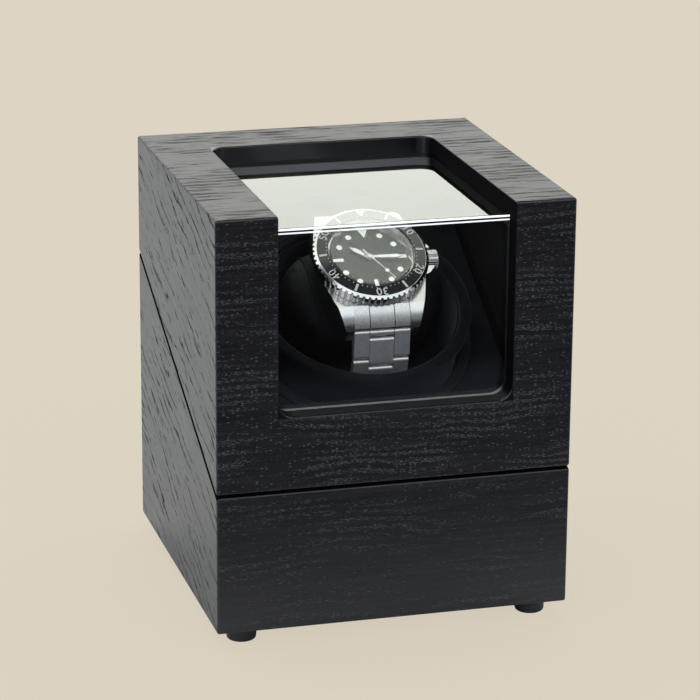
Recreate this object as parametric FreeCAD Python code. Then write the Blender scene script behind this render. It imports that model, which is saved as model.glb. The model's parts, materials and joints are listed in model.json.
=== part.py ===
"""Single watch winder box: a hinged glazed lid over a tilted, geared, turning cup that holds a watch.

Millimetres, +Z up, -Y to the front. Everything is drawn about the middle of the square footprint on the
table, and save() moves it so that the origin is under the middle of the whole outline, rear knob included.
"""

import FreeCAD
import Part
import math
import os

from FreeCAD import Placement, Rotation, Vector

# ---------------------------------------------------------------- box
SIDE = 138.0  # outer width and depth of the square box
BOX_HEIGHT = 160.5
FOOT_HEIGHT = 6.0
WALL = 12.0
EDGE_ROUND = 0.9
HALF = SIDE / 2
INNER = HALF - WALL
BOX_TOP = FOOT_HEIGHT + BOX_HEIGHT

# The box is cut in two by a plane that rises from the front to the rear.
SPLIT_FRONT = FOOT_HEIGHT + 54.4
SPLIT_REAR = FOOT_HEIGHT + 112.9
SPLIT_GAP = 0.9
SPLIT_SLOPE = math.degrees(math.atan2(SPLIT_REAR - SPLIT_FRONT, SIDE))

# ---------------------------------------------------------------- window
WINDOW_HALF = 45.3
WINDOW_REAR = 41.5
WINDOW_SILL = FOOT_HEIGHT + 83.7
WINDOW_CORNER = 6.0
GLASS = 2.0
TOP_GLASS_TOP = BOX_TOP - 6.9
FRONT_GLASS_FACE = -HALF + 7.8
REBATE = 4.1
GLASS_FIT = 0.15
BEAD_REACH = 0.6  # how far the glass beads stop short of the edge of the opening
PANE_HALF = WINDOW_HALF + REBATE - GLASS_FIT
PANE_REAR = WINDOW_REAR + REBATE - GLASS_FIT
PANE_LOW = WINDOW_SILL - REBATE + GLASS_FIT

# ---------------------------------------------------------------- feet and bottom
FOOT_RADIUS = 6.0
FOOT_X = HALF - 11.5
FOOT_Y = HALF - 10.0
BOTTOM_THICKNESS = 6.0
BOTTOM_TOP = FOOT_HEIGHT + BOTTOM_THICKNESS

# ---------------------------------------------------------------- tilted turning group
# Its frame has its origin at the middle of the dial; local -Z runs down the turning axis.
DIAL_CENTRE = Vector(0, -30.5, 137.5)
AXIS_TILT = 30.0
WATCH_TILT = 35.3
DRUM_PLACE = Placement(DIAL_CENTRE, Rotation(Vector(1, 0, 0), AXIS_TILT))
WATCH_PLACE = Placement(DIAL_CENTRE, Rotation(Vector(1, 0, 0), WATCH_TILT))

RIM_TOP = -22.0
RIM_RADIUS = 43.0
RIM_THICKNESS = 3.0
CUP_RADIUS = 40.5
CUP_WALL = 2.0
CUP_BOTTOM = -58.0
LINING = 0.8
DECK_TOP = -42.0
DECK_THICKNESS = 4.0
DECK_HOLE = 42.0
COLLAR_HALF = 55.4
COLLAR_INNER = 52.4

# ---------------------------------------------------------------- drive
MODULE = 1.0
GEAR_TEETH = 60
PINION_TEETH = 15
GEAR_TOP = -61.5
GEAR_WIDTH = 4.0
PLATE_TOP = -69.5
PLATE_THICKNESS = 3.0
SHAFT_RADIUS = 3.0
RUNNING_GAP = 0.05
BACKLASH = 0.12
PRESSURE_ANGLE = 20.0
MOTOR_OFFSET = MODULE * (GEAR_TEETH + PINION_TEETH) / 2
MOTOR_RADIUS = 12.0
PILLAR_SPOTS = [(x, y) for x in (-46.0, 46.0) for y in (-30.0, 34.0)]
GEAR_SCREW_CIRCLE = 12.0

# ---------------------------------------------------------------- rear control plate
PANEL_Z = FOOT_HEIGHT + 34.0
PANEL_HALF_X = 30.0
PANEL_HALF_Z = 13.0
PANEL_THICKNESS = 3.0
JACK_X = -18.0
ROCKER_X = 0.0
KNOB_X = 18.0
JACK_BORE = 2.85
JACK_PIN = 1.0
JACK_DEPTH = 9.5
ROCKER_TILT = 8.0
PIVOT_RADIUS = 0.8
PIVOT_DEPTH = 1.2
KNOB_REACH = 8.3  # how far the knob stands out behind the rear wall
OUTLINE_SHIFT = Vector(0, -KNOB_REACH / 2, 0)

# ---------------------------------------------------------------- circuit board
BOARD_X = 8.0
BOARD_Y = 6.0
BOARD_SPOTS = [(BOARD_X + dx, BOARD_Y + dy) for dx in (3, 35) for dy in (1.9, 28.1)]

# ---------------------------------------------------------------- hinge
HINGE_X = 40.0
HINGE_HALF = 11.0
KNUCKLE_RADIUS = 1.9
KNUCKLE_OFFSET = 2.2
LEAF = 1.0
LEAF_DEPTH = 9.5
PIN_RADIUS = 0.7

# ---------------------------------------------------------------- watch
CASE_RADIUS = 21.6
BEZEL_RADIUS = 22.35
INSERT_OUTER = 21.0
INSERT_INNER = 16.5
BEZEL_BORE = 16.65
BEZEL_LOW = -0.9
BEZEL_SHOULDER = 2.9  # where the milled edge meets the sloping rim
BEZEL_TOP = 3.7
SCALLOPS = 60
LUG_GAP = 11.0
LUG_TOP = -1.1
LUG_BOTTOM = -12.5
LUG_TIP = 28.7
# The lugs and the end links follow a curve down: its radius and its centre in the watch's side view.
ARCH_RADIUS = 18.0
ARCH_Y = 13.9
ARCH_Z = -17.5
END_LINK_TURN = 53.0  # how far round that curve the end links reach
END_LINK_THICKNESS = 3.3
LINK_PITCH = 12.0
LINK_THICKNESS = 3.0
LINK_FIRST = 0.6  # where along the loop the first links start
LINK_STAGGER = 3.2  # how far the centre links lie behind the outer ones
LINK_GAP = 0.5  # between one link and the next along the loop
CENTRE_HALF = 4.7
HOUR_ANGLE = 307.7
MINUTE_ANGLE = 92.4
SECOND_ANGLE = 146.5

BIG = 400.0
TOUCH = 0.01
CIRCLE = "Part::GeomCircle"
ABOUT_X = Vector(1, 0, 0)
ABOUT_Y = Vector(0, 1, 0)
ABOUT_Z = Vector(0, 0, 1)


# ---------------------------------------------------------------- helpers
def block(x0, x1, y0, y1, z0, z1):
    return Part.makeBox(x1 - x0, y1 - y0, z1 - z0, Vector(x0, y0, z0))


def cylinder(radius, z0, z1, x=0.0, y=0.0):
    return Part.makeCylinder(radius, z1 - z0, Vector(x, y, z0))


def ring(outer, inner, z0, z1, x=0.0, y=0.0):
    return cylinder(outer, z0, z1, x, y).cut(cylinder(inner, z0 - 1, z1 + 1, x, y))


def cylinder_y(radius, y0, y1, x, z):
    return Part.makeCylinder(radius, y1 - y0, Vector(x, y0, z), ABOUT_Y)


def revolve(points):
    """A solid of revolution about Z from (radius, height) corners."""
    corners = [Vector(r, 0, z) for r, z in points]
    return Part.Face(Part.makePolygon(corners + corners[:1])).revolve(Vector(), ABOUT_Z, 360)


def prism(points, z0, z1):
    corners = [Vector(x, y, z0) for x, y in points]
    return Part.Face(Part.makePolygon(corners + corners[:1])).extrude(Vector(0, 0, z1 - z0))


def rounded_block(x0, x1, y0, y1, z0, z1, radius):
    """A block whose four upright edges are rounded."""
    solid = block(x0, x1, y0, y1, z0, z1)
    upright = [e for e in solid.Edges if abs(e.tangentAt(0).z) > 0.9]
    return solid.makeFillet(radius, upright)


def polar(radius, angle, z):
    return Vector(radius * math.cos(angle), radius * math.sin(angle), z)


def fuse(shapes):
    return shapes[0].multiFuse(shapes[1:]).removeSplitter() if len(shapes) > 1 else shapes[0]


def placed(shape, place):
    copy = shape.copy()
    copy.Placement = place.multiply(copy.Placement)
    return copy


def turned(shape, axis, angle, centre=Vector()):
    copy = shape.copy()
    copy.rotate(centre, axis, angle)
    return copy


def moved(shape, x, y, z):
    copy = shape.copy()
    copy.translate(Vector(x, y, z))
    return copy


def mirrored_x(shape):
    return shape.mirror(Vector(), ABOUT_X)


def save(name, shape):
    """Write one node; several solids in one node stay separate solids."""
    solids = shape if isinstance(shape, list) else [shape]
    parts = [s for shape_part in solids for s in shape_part.Solids]
    parts = [moved(part, *OUTLINE_SHIFT) for part in parts]
    out = parts[0] if len(parts) == 1 else Part.makeCompound(parts)
    out.exportStep("parts/" + name + ".step")


# ---------------------------------------------------------------- screws
def screw(head_radius, head_height, shank_radius, length):
    """A pan-head screw along +Z: the head is below z = 0, the shank above it."""
    head = cylinder(head_radius, -head_height, 0)
    rim = [e for e in head.Edges if abs(e.CenterOfMass.z + head_height) < TOUCH]
    head = head.makeFillet(head_height * 0.45, rim)
    slot = block(-head_radius, head_radius, -0.3, 0.3, -head_height - 1, -head_height * 0.55)
    shank = cylinder(shank_radius, 0, length - shank_radius)
    tip = Part.makeCone(shank_radius, 0.2, shank_radius, Vector(0, 0, length - shank_radius))
    return fuse([head.cut(slot), shank, tip])


def countersunk_screw(head_radius, shank_radius, length):
    """A flat-head screw along +Z with its head's face at z = 0."""
    head = Part.makeCone(head_radius, shank_radius, head_radius - shank_radius)
    slot = block(-head_radius, head_radius, -0.25, 0.25, -1, 0.4)
    shank = cylinder(shank_radius, head_radius - shank_radius, length - shank_radius)
    tip = Part.makeCone(shank_radius, 0.2, shank_radius, Vector(0, 0, length - shank_radius))
    return fuse([head.cut(slot), shank, tip])


def foot_screws():
    one = screw(3.0, 2.0, 1.6, 14.0)
    return [moved(one, sx * FOOT_X, sy * FOOT_Y, 3.4) for sx in (-1, 1) for sy in (-1, 1)]


def case_screws():
    """Six alike: four hold the bottom panel to the collar and two hold the control plate to the rear wall."""
    one = countersunk_screw(2.4, 1.1, 11.0)
    spot = COLLAR_INNER + 2.0
    screws = [moved(one, sx * spot, y, FOOT_HEIGHT) for sx in (-1, 1) for y in (-38, 38)]
    level = turned(one, ABOUT_X, 90)
    return screws + [moved(level, sx * (PANEL_HALF_X - 3.6), HALF, PANEL_Z) for sx in (-1, 1)]


# ---------------------------------------------------------------- wooden case
def split_half(above, offset):
    """Everything above or below the sloping split plane, moved off it by offset."""
    half = block(-BIG, BIG, -BIG, BIG, 0, BIG) if above else block(-BIG, BIG, -BIG, BIG, -BIG, 0)
    half = turned(half, ABOUT_X, SPLIT_SLOPE)
    return moved(half, 0, -HALF, SPLIT_FRONT + offset)


def outer_body(above):
    """The outside of the lid or of the base as one rounded block."""
    offset = SPLIT_GAP / 2 if above else -SPLIT_GAP / 2
    body = block(-HALF, HALF, -HALF, HALF, FOOT_HEIGHT, BOX_TOP).common(split_half(above, offset))
    return body.makeFillet(EDGE_ROUND, body.Edges)


def wall_wedge():
    """The mitred front wall at full height: wide outside, narrower inside."""
    return Part.makeWedge(
        -HALF, -HALF, FOOT_HEIGHT, FOOT_HEIGHT, -INNER,
        HALF, -INNER, BOX_TOP, BOX_TOP - WALL, INNER,
    )


def wall(turns):
    """One of the four mitred walls, from the front one turned a quarter at a time."""
    return turned(wall_wedge(), ABOUT_Z, 90 * turns)


def square_wire(half, z):
    corners = ((-1, -1), (1, -1), (1, 1), (-1, 1), (-1, -1))
    return Part.makePolygon([Vector(x * half, y * half, z) for x, y in corners])


def top_wedge():
    return Part.makeLoft([square_wire(INNER, BOX_TOP - WALL), square_wire(HALF, BOX_TOP)], True, True)


def window_cut(half, rear, sill, front_depth, top_depth, corner):
    """An L-shaped opening that runs over the top and down the front."""
    over = rounded_block(-half, half, -HALF - 20, rear, top_depth, BOX_TOP + 20, corner)
    down = turned(
        rounded_block(-half, half, sill, BOX_TOP + 20, HALF - 40, HALF + 20, corner), ABOUT_X, 90
    )
    down = down.common(block(-BIG, BIG, -BIG, front_depth, -BIG, BIG))
    return over.fuse(down)


def window_opening():
    return window_cut(
        WINDOW_HALF, WINDOW_REAR, WINDOW_SILL, -INNER + 1, BOX_TOP - WALL - 1, WINDOW_CORNER
    )


def glass_rebate():
    half = WINDOW_HALF + REBATE
    top = block(-half, half, FRONT_GLASS_FACE, WINDOW_REAR + REBATE, BOX_TOP - WALL - 1, TOP_GLASS_TOP)
    front = block(-half, half, FRONT_GLASS_FACE, -INNER + 1, WINDOW_SILL - REBATE, TOP_GLASS_TOP)
    return top.fuse(front)


def softened(shape, cutter):
    """Cut the window out and break the sharp edge that the cut leaves on the outside."""
    cut = shape.cut(cutter)
    edges = []
    for edge in cut.Edges:
        middle = edge.valueAt((edge.FirstParameter + edge.LastParameter) / 2)
        if abs(middle.x) > WINDOW_HALF + TOUCH:
            continue
        on_top = abs(middle.z - BOX_TOP) < TOUCH and edge.BoundBox.ZLength < TOUCH
        on_front = abs(middle.y + HALF) < TOUCH and edge.BoundBox.YLength < TOUCH
        along_top = on_top and middle.y < WINDOW_REAR + TOUCH
        along_front = on_front and middle.z > WINDOW_SILL - TOUCH
        if along_top or along_front:
            edges.append(edge)
    return cut.makeFillet(0.7, edges) if edges else cut


def lid_panels():
    body = outer_body(True)
    hollow = glass_rebate()
    opening = window_opening()
    hinge_recess = [hinge_pocket(sx) for sx in (-1, 1)]
    panels = {
        "lid_front_panel": softened(body.common(wall(0)), opening).cut(hollow),
        "lid_right_panel": body.common(wall(1)),
        "lid_rear_panel": body.common(wall(2)).cut(Part.makeCompound(hinge_recess)),
        "lid_left_panel": body.common(wall(3)),
        "lid_top_panel": softened(body.common(top_wedge()), opening).cut(hollow),
    }
    return panels


def base_panels():
    body = outer_body(False)
    screws = Part.makeCompound(foot_screws() + case_screws())
    hinge_recess = Part.makeCompound([hinge_pocket(sx) for sx in (-1, 1)])
    panels = {
        "base_front_panel": body.common(wall(0)).cut(screws),
        "base_right_panel": body.common(wall(1)).cut(screws),
        "base_rear_panel": body.common(wall(2)).cut(screws).cut(hinge_recess).cut(control_opening()),
        "base_left_panel": body.common(wall(3)).cut(screws),
    }
    return panels


def bottom_panel():
    fit = INNER - 0.1
    plate = block(-fit, fit, -fit, fit, FOOT_HEIGHT, BOTTOM_TOP)
    return plate.cut(Part.makeCompound(case_screws()))


def feet():
    """Turned rubber feet: a slightly tapered drum with a rounded lower edge and a screw recess."""
    foot = Part.makeCone(FOOT_RADIUS * 0.93, FOOT_RADIUS, FOOT_HEIGHT)
    low = [e for e in foot.Edges if abs(e.CenterOfMass.z) < TOUCH]
    foot = foot.makeFillet(1.2, low)
    foot = foot.cut(cylinder(3.4, -1, 3.4))
    feet_list = [moved(foot, sx * FOOT_X, sy * FOOT_Y, 0) for sx in (-1, 1) for sy in (-1, 1)]
    screws = Part.makeCompound(foot_screws())
    return [one.cut(screws) for one in feet_list]


def lid_bumpers():
    """Two thin pads on the front wall that the closed lid rests on."""
    pad = cylinder(3.0, -SPLIT_GAP / 2, SPLIT_GAP / 2 - 0.06)
    pads = []
    for sx in (-1, 1):
        one = turned(moved(pad, sx * (HALF - 12), WALL / 2 + 0.5, 0), ABOUT_X, SPLIT_SLOPE)
        lowered = moved(one, 0, -HALF, SPLIT_FRONT)
        pads.append(lowered.cut(outer_body(False)))
    return pads


# ---------------------------------------------------------------- hinges
HINGE_PLACE = Placement(Vector(0, HALF, SPLIT_REAR), Rotation(ABOUT_X, SPLIT_SLOPE))


def hinge_pocket(side):
    """The recess for both leaves of one hinge, cut into lid and base alike."""
    x0 = side * HINGE_X - HINGE_HALF - 0.1
    pocket = block(x0, x0 + 2 * HINGE_HALF + 0.2, -LEAF_DEPTH - 0.1, 5, -LEAF, LEAF)
    screws = leaf_screws_local(side, True) + leaf_screws_local(side, False)
    return placed(Part.makeCompound([pocket] + screws), HINGE_PLACE)


def leaf_screws_local(side, upper):
    """The two countersunk screws of one leaf, heads at the face where the leaves meet."""
    one = countersunk_screw(1.5, 0.8, 8.0)
    if not upper:
        one = turned(one, ABOUT_X, 180)
    height = 0.06 if upper else -0.06
    return [moved(one, side * HINGE_X + x, -LEAF_DEPTH / 2 - 0.6, height) for x in (-7.0, 7.0)]


def hinge_leaf(side, upper):
    """One leaf with its share of the knuckle: the lid has the middle one, the base the outer two."""
    sign = 1 if upper else -1
    low, high = sorted((sign * 0.05, sign * LEAF))
    plate = block(-HINGE_HALF, HINGE_HALF, -LEAF_DEPTH, KNUCKLE_OFFSET, low, high)
    axis = Vector(0, KNUCKLE_OFFSET, 0)
    third = HINGE_HALF / 2.6
    own = [(-third + 0.1, third - 0.1)] if upper else [(-HINGE_HALF, -third), (third, HINGE_HALF)]
    other = [(-HINGE_HALF, -third), (third, HINGE_HALF)] if upper else [(-third, third)]

    def knuckle(radius, a, b):
        return Part.makeCylinder(radius, b - a, Vector(a, axis.y, 0), ABOUT_X)

    for a, b in other:
        plate = plate.cut(knuckle(KNUCKLE_RADIUS + 0.25, a - 0.1, b + 0.1))
        plate = plate.cut(block(a - 0.1, b + 0.1, KNUCKLE_OFFSET, 9, -9, 9))
    leaf = fuse([plate] + [knuckle(KNUCKLE_RADIUS, a, b) for a, b in own])
    bore = PIN_RADIUS + (RUNNING_GAP if upper else 0)
    leaf = leaf.cut(knuckle(bore, -HINGE_HALF - 1, HINGE_HALF + 1))
    leaf = moved(leaf, side * HINGE_X, 0, 0).cut(Part.makeCompound(leaf_screws_local(side, upper)))
    return placed(leaf, HINGE_PLACE)


def hinge_screws(upper):
    return [placed(one, HINGE_PLACE) for side in (-1, 1) for one in leaf_screws_local(side, upper)]


def hinge_pins():
    pins = []
    for side in (-1, 1):
        start = Vector(side * HINGE_X - HINGE_HALF - 0.4, KNUCKLE_OFFSET, 0)
        pins.append(placed(Part.makeCylinder(PIN_RADIUS, 2 * HINGE_HALF + 0.8, start, ABOUT_X), HINGE_PLACE))
    return pins


# ---------------------------------------------------------------- glass
def top_glass():
    """The top pane; it laps over the front pane and its front edge has two small bevels."""
    pane = block(-PANE_HALF, PANE_HALF, FRONT_GLASS_FACE, PANE_REAR, TOP_GLASS_TOP - GLASS, TOP_GLASS_TOP)
    front = []
    for edge in pane.Edges:
        if abs(edge.CenterOfMass.y - FRONT_GLASS_FACE) < TOUCH and edge.BoundBox.XLength > PANE_HALF:
            front.append(edge)
    return pane.makeChamfer(0.3, front)


def front_glass():
    inner_face = FRONT_GLASS_FACE + GLASS
    return block(-PANE_HALF, PANE_HALF, FRONT_GLASS_FACE, inner_face, PANE_LOW, TOP_GLASS_TOP - GLASS)


def top_bead():
    """A bead on three sides that holds the top pane up in its rebate."""
    front = FRONT_GLASS_FACE + GLASS
    outer = block(-PANE_HALF, PANE_HALF, front, PANE_REAR, BOX_TOP - WALL, TOP_GLASS_TOP - GLASS)
    gap = WINDOW_HALF + BEAD_REACH
    return outer.cut(rounded_block(-gap, gap, -BIG, WINDOW_REAR + BEAD_REACH, 0, BIG, WINDOW_CORNER))


def front_bead():
    front = FRONT_GLASS_FACE + GLASS
    outer = block(-PANE_HALF, PANE_HALF, front, -INNER, PANE_LOW, BOX_TOP - WALL - 0.1)
    gap = WINDOW_HALF + BEAD_REACH
    hole = turned(rounded_block(-gap, gap, WINDOW_SILL - BEAD_REACH, BIG, 0, BIG, WINDOW_CORNER), ABOUT_X, 90)
    return outer.cut(hole)


# ---------------------------------------------------------------- inside of the base
def square_tube(half):
    outside = block(-half, half, -half, half, BOTTOM_TOP, BOX_TOP)
    return outside.cut(block(-COLLAR_INNER, COLLAR_INNER, -COLLAR_INNER, COLLAR_INNER, 0, BIG))


def inner_collar():
    """A square collar: thick where it is glued into the base, thinner where the lid closes over it."""
    lower = square_tube(INNER - 0.1).common(split_half(False, -3.0))
    under_deck = placed(
        block(-BIG, BIG, -BIG, BIG, -BIG, DECK_TOP - DECK_THICKNESS), DRUM_PLACE
    )
    collar = square_tube(COLLAR_HALF).common(under_deck).fuse(lower).removeSplitter()
    opening = block(-PANEL_HALF_X + 1, PANEL_HALF_X - 1, INNER - 9, INNER + 1, PANEL_Z - 11, PANEL_Z + 11)
    return collar.cut(opening).cut(Part.makeCompound(case_screws()))


def deck_panel():
    slab = placed(block(-BIG, BIG, -BIG, BIG, DECK_TOP - DECK_THICKNESS, DECK_TOP), DRUM_PLACE)
    deck = slab.common(block(-COLLAR_HALF, COLLAR_HALF, -COLLAR_HALF, COLLAR_HALF, 0, BIG))
    return deck.cut(placed(cylinder(DECK_HOLE, DECK_TOP - 9, DECK_TOP + 9), DRUM_PLACE))


def deck_ring():
    """A trim ring that edges the hole in the deck."""
    solid = ring(DECK_HOLE + 4.0, DECK_HOLE - 0.4, DECK_TOP, DECK_TOP + 1.6)
    top = [e for e in solid.Edges if abs(e.CenterOfMass.z - DECK_TOP - 1.6) < TOUCH]
    return placed(solid.makeFillet(0.6, top), DRUM_PLACE)


# ---------------------------------------------------------------- drive
def involute_flank(base_radius, start, end, turn, side):
    """A spline along one involute flank between two radii."""
    points = []
    for step in range(5):
        radius = start + (end - start) * step / 4
        roll = math.sqrt(max((radius / base_radius) ** 2 - 1, 0))
        angle = turn + side * (roll - math.atan(roll))
        points.append(polar(radius, angle, 0))
    curve = Part.BSplineCurve()
    curve.interpolate(points)
    return curve


def gear(teeth, width):
    """A spur gear with involute teeth; one tooth is centred on +X. Its lower face is at z = 0."""
    pitch = MODULE * teeth / 2
    base = pitch * math.cos(math.radians(PRESSURE_ANGLE))
    tip = pitch + 0.95 * MODULE
    root = pitch - 1.2 * MODULE
    start = max(base, root)
    roll = math.sqrt((pitch / base) ** 2 - 1)
    half_tooth = math.pi / (2 * teeth) - BACKLASH / (2 * pitch) + roll - math.atan(roll)
    edges = []
    for number in range(teeth):
        middle = 2 * math.pi * number / teeth
        after = 2 * math.pi * (number + 1) / teeth
        rising = involute_flank(base, start, tip, middle - half_tooth, 1)
        falling = involute_flank(base, start, tip, middle + half_tooth, -1)
        next_rising = involute_flank(base, start, tip, after - half_tooth, 1)
        low = falling.StartPoint
        low_next = next_rising.StartPoint
        edges.append(rising.toShape())
        edges.append(Part.Arc(rising.EndPoint, polar(tip, middle, 0), falling.EndPoint).toShape())
        edges.append(falling.toShape())
        gap_point = polar(root, (middle + after) / 2, 0)
        if start > root + 0.05:
            in_a = Vector(low).normalize() * root
            in_b = Vector(low_next).normalize() * root
            edges.append(Part.makeLine(low, in_a))
            edges.append(Part.Arc(in_a, gap_point, in_b).toShape())
            edges.append(Part.makeLine(in_b, low_next))
        else:
            edges.append(Part.Arc(low, gap_point, low_next).toShape())
    outline = Part.Wire(Part.__sortEdges__(edges))
    return Part.Face(outline).extrude(Vector(0, 0, width))


def gear_screw_spots(height):
    return [polar(GEAR_SCREW_CIRCLE, math.radians(angle), height) for angle in (30, 150, 270)]


def gear_screws_local():
    one = screw(2.2, 1.4, 1.1, 6.0)
    return [moved(one, *spot) for spot in gear_screw_spots(GEAR_TOP - GEAR_WIDTH + 1.8)]


def drum_cup():
    """The turning cup: a rolled rim, a straight wall, a flat floor and a short boss under it."""
    inner = CUP_RADIUS - CUP_WALL
    boss = 18.0
    cup = revolve([
        (0, CUP_BOTTOM + 2.5), (inner, CUP_BOTTOM + 2.5), (inner, RIM_TOP), (RIM_RADIUS, RIM_TOP),
        (RIM_RADIUS, RIM_TOP - RIM_THICKNESS), (CUP_RADIUS, RIM_TOP - RIM_THICKNESS - 1.5),
        (CUP_RADIUS, CUP_BOTTOM), (boss, CUP_BOTTOM), (boss, GEAR_TOP), (0, GEAR_TOP),
    ])
    top = [e for e in cup.Edges if abs(e.CenterOfMass.z - RIM_TOP) < TOUCH and e.Curve.TypeId == CIRCLE]
    cup = cup.makeFillet(1.4, top)
    low = [e for e in cup.Edges if abs(e.CenterOfMass.z - CUP_BOTTOM) < TOUCH and e.Curve.Radius > boss + 1]
    cup = cup.makeFillet(1.5, low)
    cup = cup.cut(cylinder(SHAFT_RADIUS, GEAR_TOP - 1, CUP_BOTTOM + 1.5))
    return placed(cup.cut(Part.makeCompound(gear_screws_local())), DRUM_PLACE)


def cup_lining():
    outer = CUP_RADIUS - CUP_WALL - 0.05
    floor = CUP_BOTTOM + 2.5
    high = RIM_TOP - 2.2
    tube = ring(outer, outer - LINING, floor + LINING, high)
    return placed(fuse([tube, cylinder(outer, floor, floor + LINING)]), DRUM_PLACE)


def drum_gear():
    wheel = moved(gear(GEAR_TEETH, GEAR_WIDTH), 0, 0, GEAR_TOP - GEAR_WIDTH)
    hub = cylinder(6.0, PLATE_TOP + 1.55, GEAR_TOP - GEAR_WIDTH)
    wheel = fuse([wheel, hub])
    wheel = wheel.cut(cylinder(SHAFT_RADIUS, -BIG, 0))
    low = GEAR_TOP - GEAR_WIDTH
    recess = [cylinder(2.6, low - 1, low + 1.8, spot.x, spot.y) for spot in gear_screw_spots(low)]
    wheel = wheel.cut(Part.makeCompound(recess)).cut(Part.makeCompound(gear_screws_local()))
    return placed(wheel, DRUM_PLACE)


def spindle():
    low = PLATE_TOP - PLATE_THICKNESS - 7.0
    shaft = cylinder(SHAFT_RADIUS, low, CUP_BOTTOM + 1.5)
    groove = ring(SHAFT_RADIUS + 1, SHAFT_RADIUS - 0.5, low + 1.2, low + 2.0)
    return placed(shaft.cut(groove), DRUM_PLACE)


def spindle_clip():
    low = PLATE_TOP - PLATE_THICKNESS - 7.0
    clip = ring(SHAFT_RADIUS + 2.0, SHAFT_RADIUS - 0.5, low + 1.25, low + 1.95)
    return placed(clip.cut(block(-1.6, 1.6, 0, 9, -BIG, 0)), DRUM_PLACE)


def bush_profile():
    bore = SHAFT_RADIUS + RUNNING_GAP
    low = PLATE_TOP - PLATE_THICKNESS - 4.0
    return revolve([
        (bore, low), (5.0, low), (5.0, PLATE_TOP),
        (7.5, PLATE_TOP), (7.5, PLATE_TOP + 1.5), (bore, PLATE_TOP + 1.5),
    ])


def spindle_bush():
    return placed(bush_profile(), DRUM_PLACE)


def drive_screws_local():
    """Six alike: four run up through the plate into the pillars, two run down into the motor's face."""
    one = screw(2.1, 1.3, 1.1, 7.0)
    up = [moved(one, x, y, PLATE_TOP - PLATE_THICKNESS) for x, y in PILLAR_SPOTS]
    down = [moved(turned(one, ABOUT_X, 180), x, -MOTOR_OFFSET, PLATE_TOP) for x in (-9.5, 9.5)]
    return up + down


def drive_plate():
    plate = rounded_block(-51, 51, -50, 40, PLATE_TOP - PLATE_THICKNESS, PLATE_TOP, 5.0)
    plate = plate.cut(cylinder(5.0, -BIG, 0)).cut(cylinder(4.0, -BIG, 0, 0, -MOTOR_OFFSET))
    return placed(plate.cut(Part.makeCompound(drive_screws_local())), DRUM_PLACE)


def drive_pillars():
    pillars = []
    for x, y in PILLAR_SPOTS:
        one = cylinder(3.6, PLATE_TOP, DECK_TOP - DECK_THICKNESS, x, y)
        pillars.append(placed(one.cut(Part.makeCompound(drive_screws_local())), DRUM_PLACE))
    return pillars


def pinion():
    # Half a tooth of turn sets a gap of the pinion against a tooth of the big gear.
    wheel = gear(PINION_TEETH, GEAR_WIDTH + 1.5)
    wheel = turned(wheel, ABOUT_Z, 90 + 180 / PINION_TEETH)
    wheel = moved(wheel, 0, -MOTOR_OFFSET, GEAR_TOP - GEAR_WIDTH - 0.7)
    shaft = cylinder(1.5, PLATE_TOP - PLATE_THICKNESS - 9, GEAR_TOP + 1.2, 0, -MOTOR_OFFSET)
    return placed(fuse([wheel, shaft]), DRUM_PLACE)


def gear_motor():
    """The sealed drive unit: a reduction gearbox on top of a flat-sided motor can."""
    top = PLATE_TOP - PLATE_THICKNESS
    body = cylinder(MOTOR_RADIUS + 0.5, top - 13, top, 0, -MOTOR_OFFSET)
    low = top - 35
    can = cylinder(MOTOR_RADIUS, low, top - 13, 0, -MOTOR_OFFSET)
    can = can.makeFillet(1.5, [e for e in can.Edges if abs(e.CenterOfMass.z - low) < TOUCH])
    side = block(MOTOR_RADIUS - 1.6, 20, -MOTOR_OFFSET - 20, -MOTOR_OFFSET + 20, low - 8, top - 16)
    can = can.cut(side).cut(mirrored_x(side))
    tail = cylinder(3.5, low - 1.2, low, 0, -MOTOR_OFFSET)
    unit = fuse([body, can, tail])
    unit = unit.cut(cylinder(1.5 + RUNNING_GAP, top - 9.2, top + 1, 0, -MOTOR_OFFSET))
    return placed(unit.cut(Part.makeCompound(drive_screws_local())), DRUM_PLACE)


# ---------------------------------------------------------------- electrics and controls
def panel_block(half_x, half_z, outer_face):
    """A block in the rear wall, as deep as the control plate is thick."""
    return block(-half_x, half_x, HALF - PANEL_THICKNESS, outer_face, PANEL_Z - half_z, PANEL_Z + half_z)


def control_opening():
    """The stepped hole in the rear wall: a rebate for the plate and a way through for what it carries."""
    fit = 0.15
    rebate = panel_block(PANEL_HALF_X + fit, PANEL_HALF_Z + fit, HALF + 5)
    through = block(-PANEL_HALF_X + 6.5, PANEL_HALF_X - 6.5, INNER - 5, HALF, PANEL_Z - 10, PANEL_Z + 10)
    return Part.makeCompound([rebate, through] + case_screws())


def control_plate():
    plate = panel_block(PANEL_HALF_X, PANEL_HALF_Z, HALF)
    face = [e for e in plate.Edges if e.BoundBox.YMin > HALF - TOUCH]
    plate = plate.makeChamfer(0.3, face)
    plate = plate.cut(cylinder_y(5.0, 0, BIG, JACK_X, PANEL_Z))
    plate = plate.cut(block(ROCKER_X - 5.1, ROCKER_X + 5.1, 0, BIG, PANEL_Z - 7.6, PANEL_Z + 7.6))
    plate = plate.cut(cylinder_y(3.1, 0, BIG, KNOB_X, PANEL_Z))
    return plate.cut(Part.makeCompound(case_screws()))


def dc_jack():
    """A barrel socket: a threaded sleeve through the plate, open to the rear."""
    barrel = cylinder_y(4.95, HALF - 15, HALF, JACK_X, PANEL_Z)
    flange = cylinder_y(6.0, HALF, HALF + 1.2, JACK_X, PANEL_Z)
    flange = flange.makeFillet(0.4, [e for e in flange.Edges if e.BoundBox.YMin > HALF + 1.1])
    body = fuse([barrel, flange])
    return body.cut(cylinder_y(JACK_BORE, HALF - JACK_DEPTH, BIG, JACK_X, PANEL_Z)).cut(jack_pin())


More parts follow.
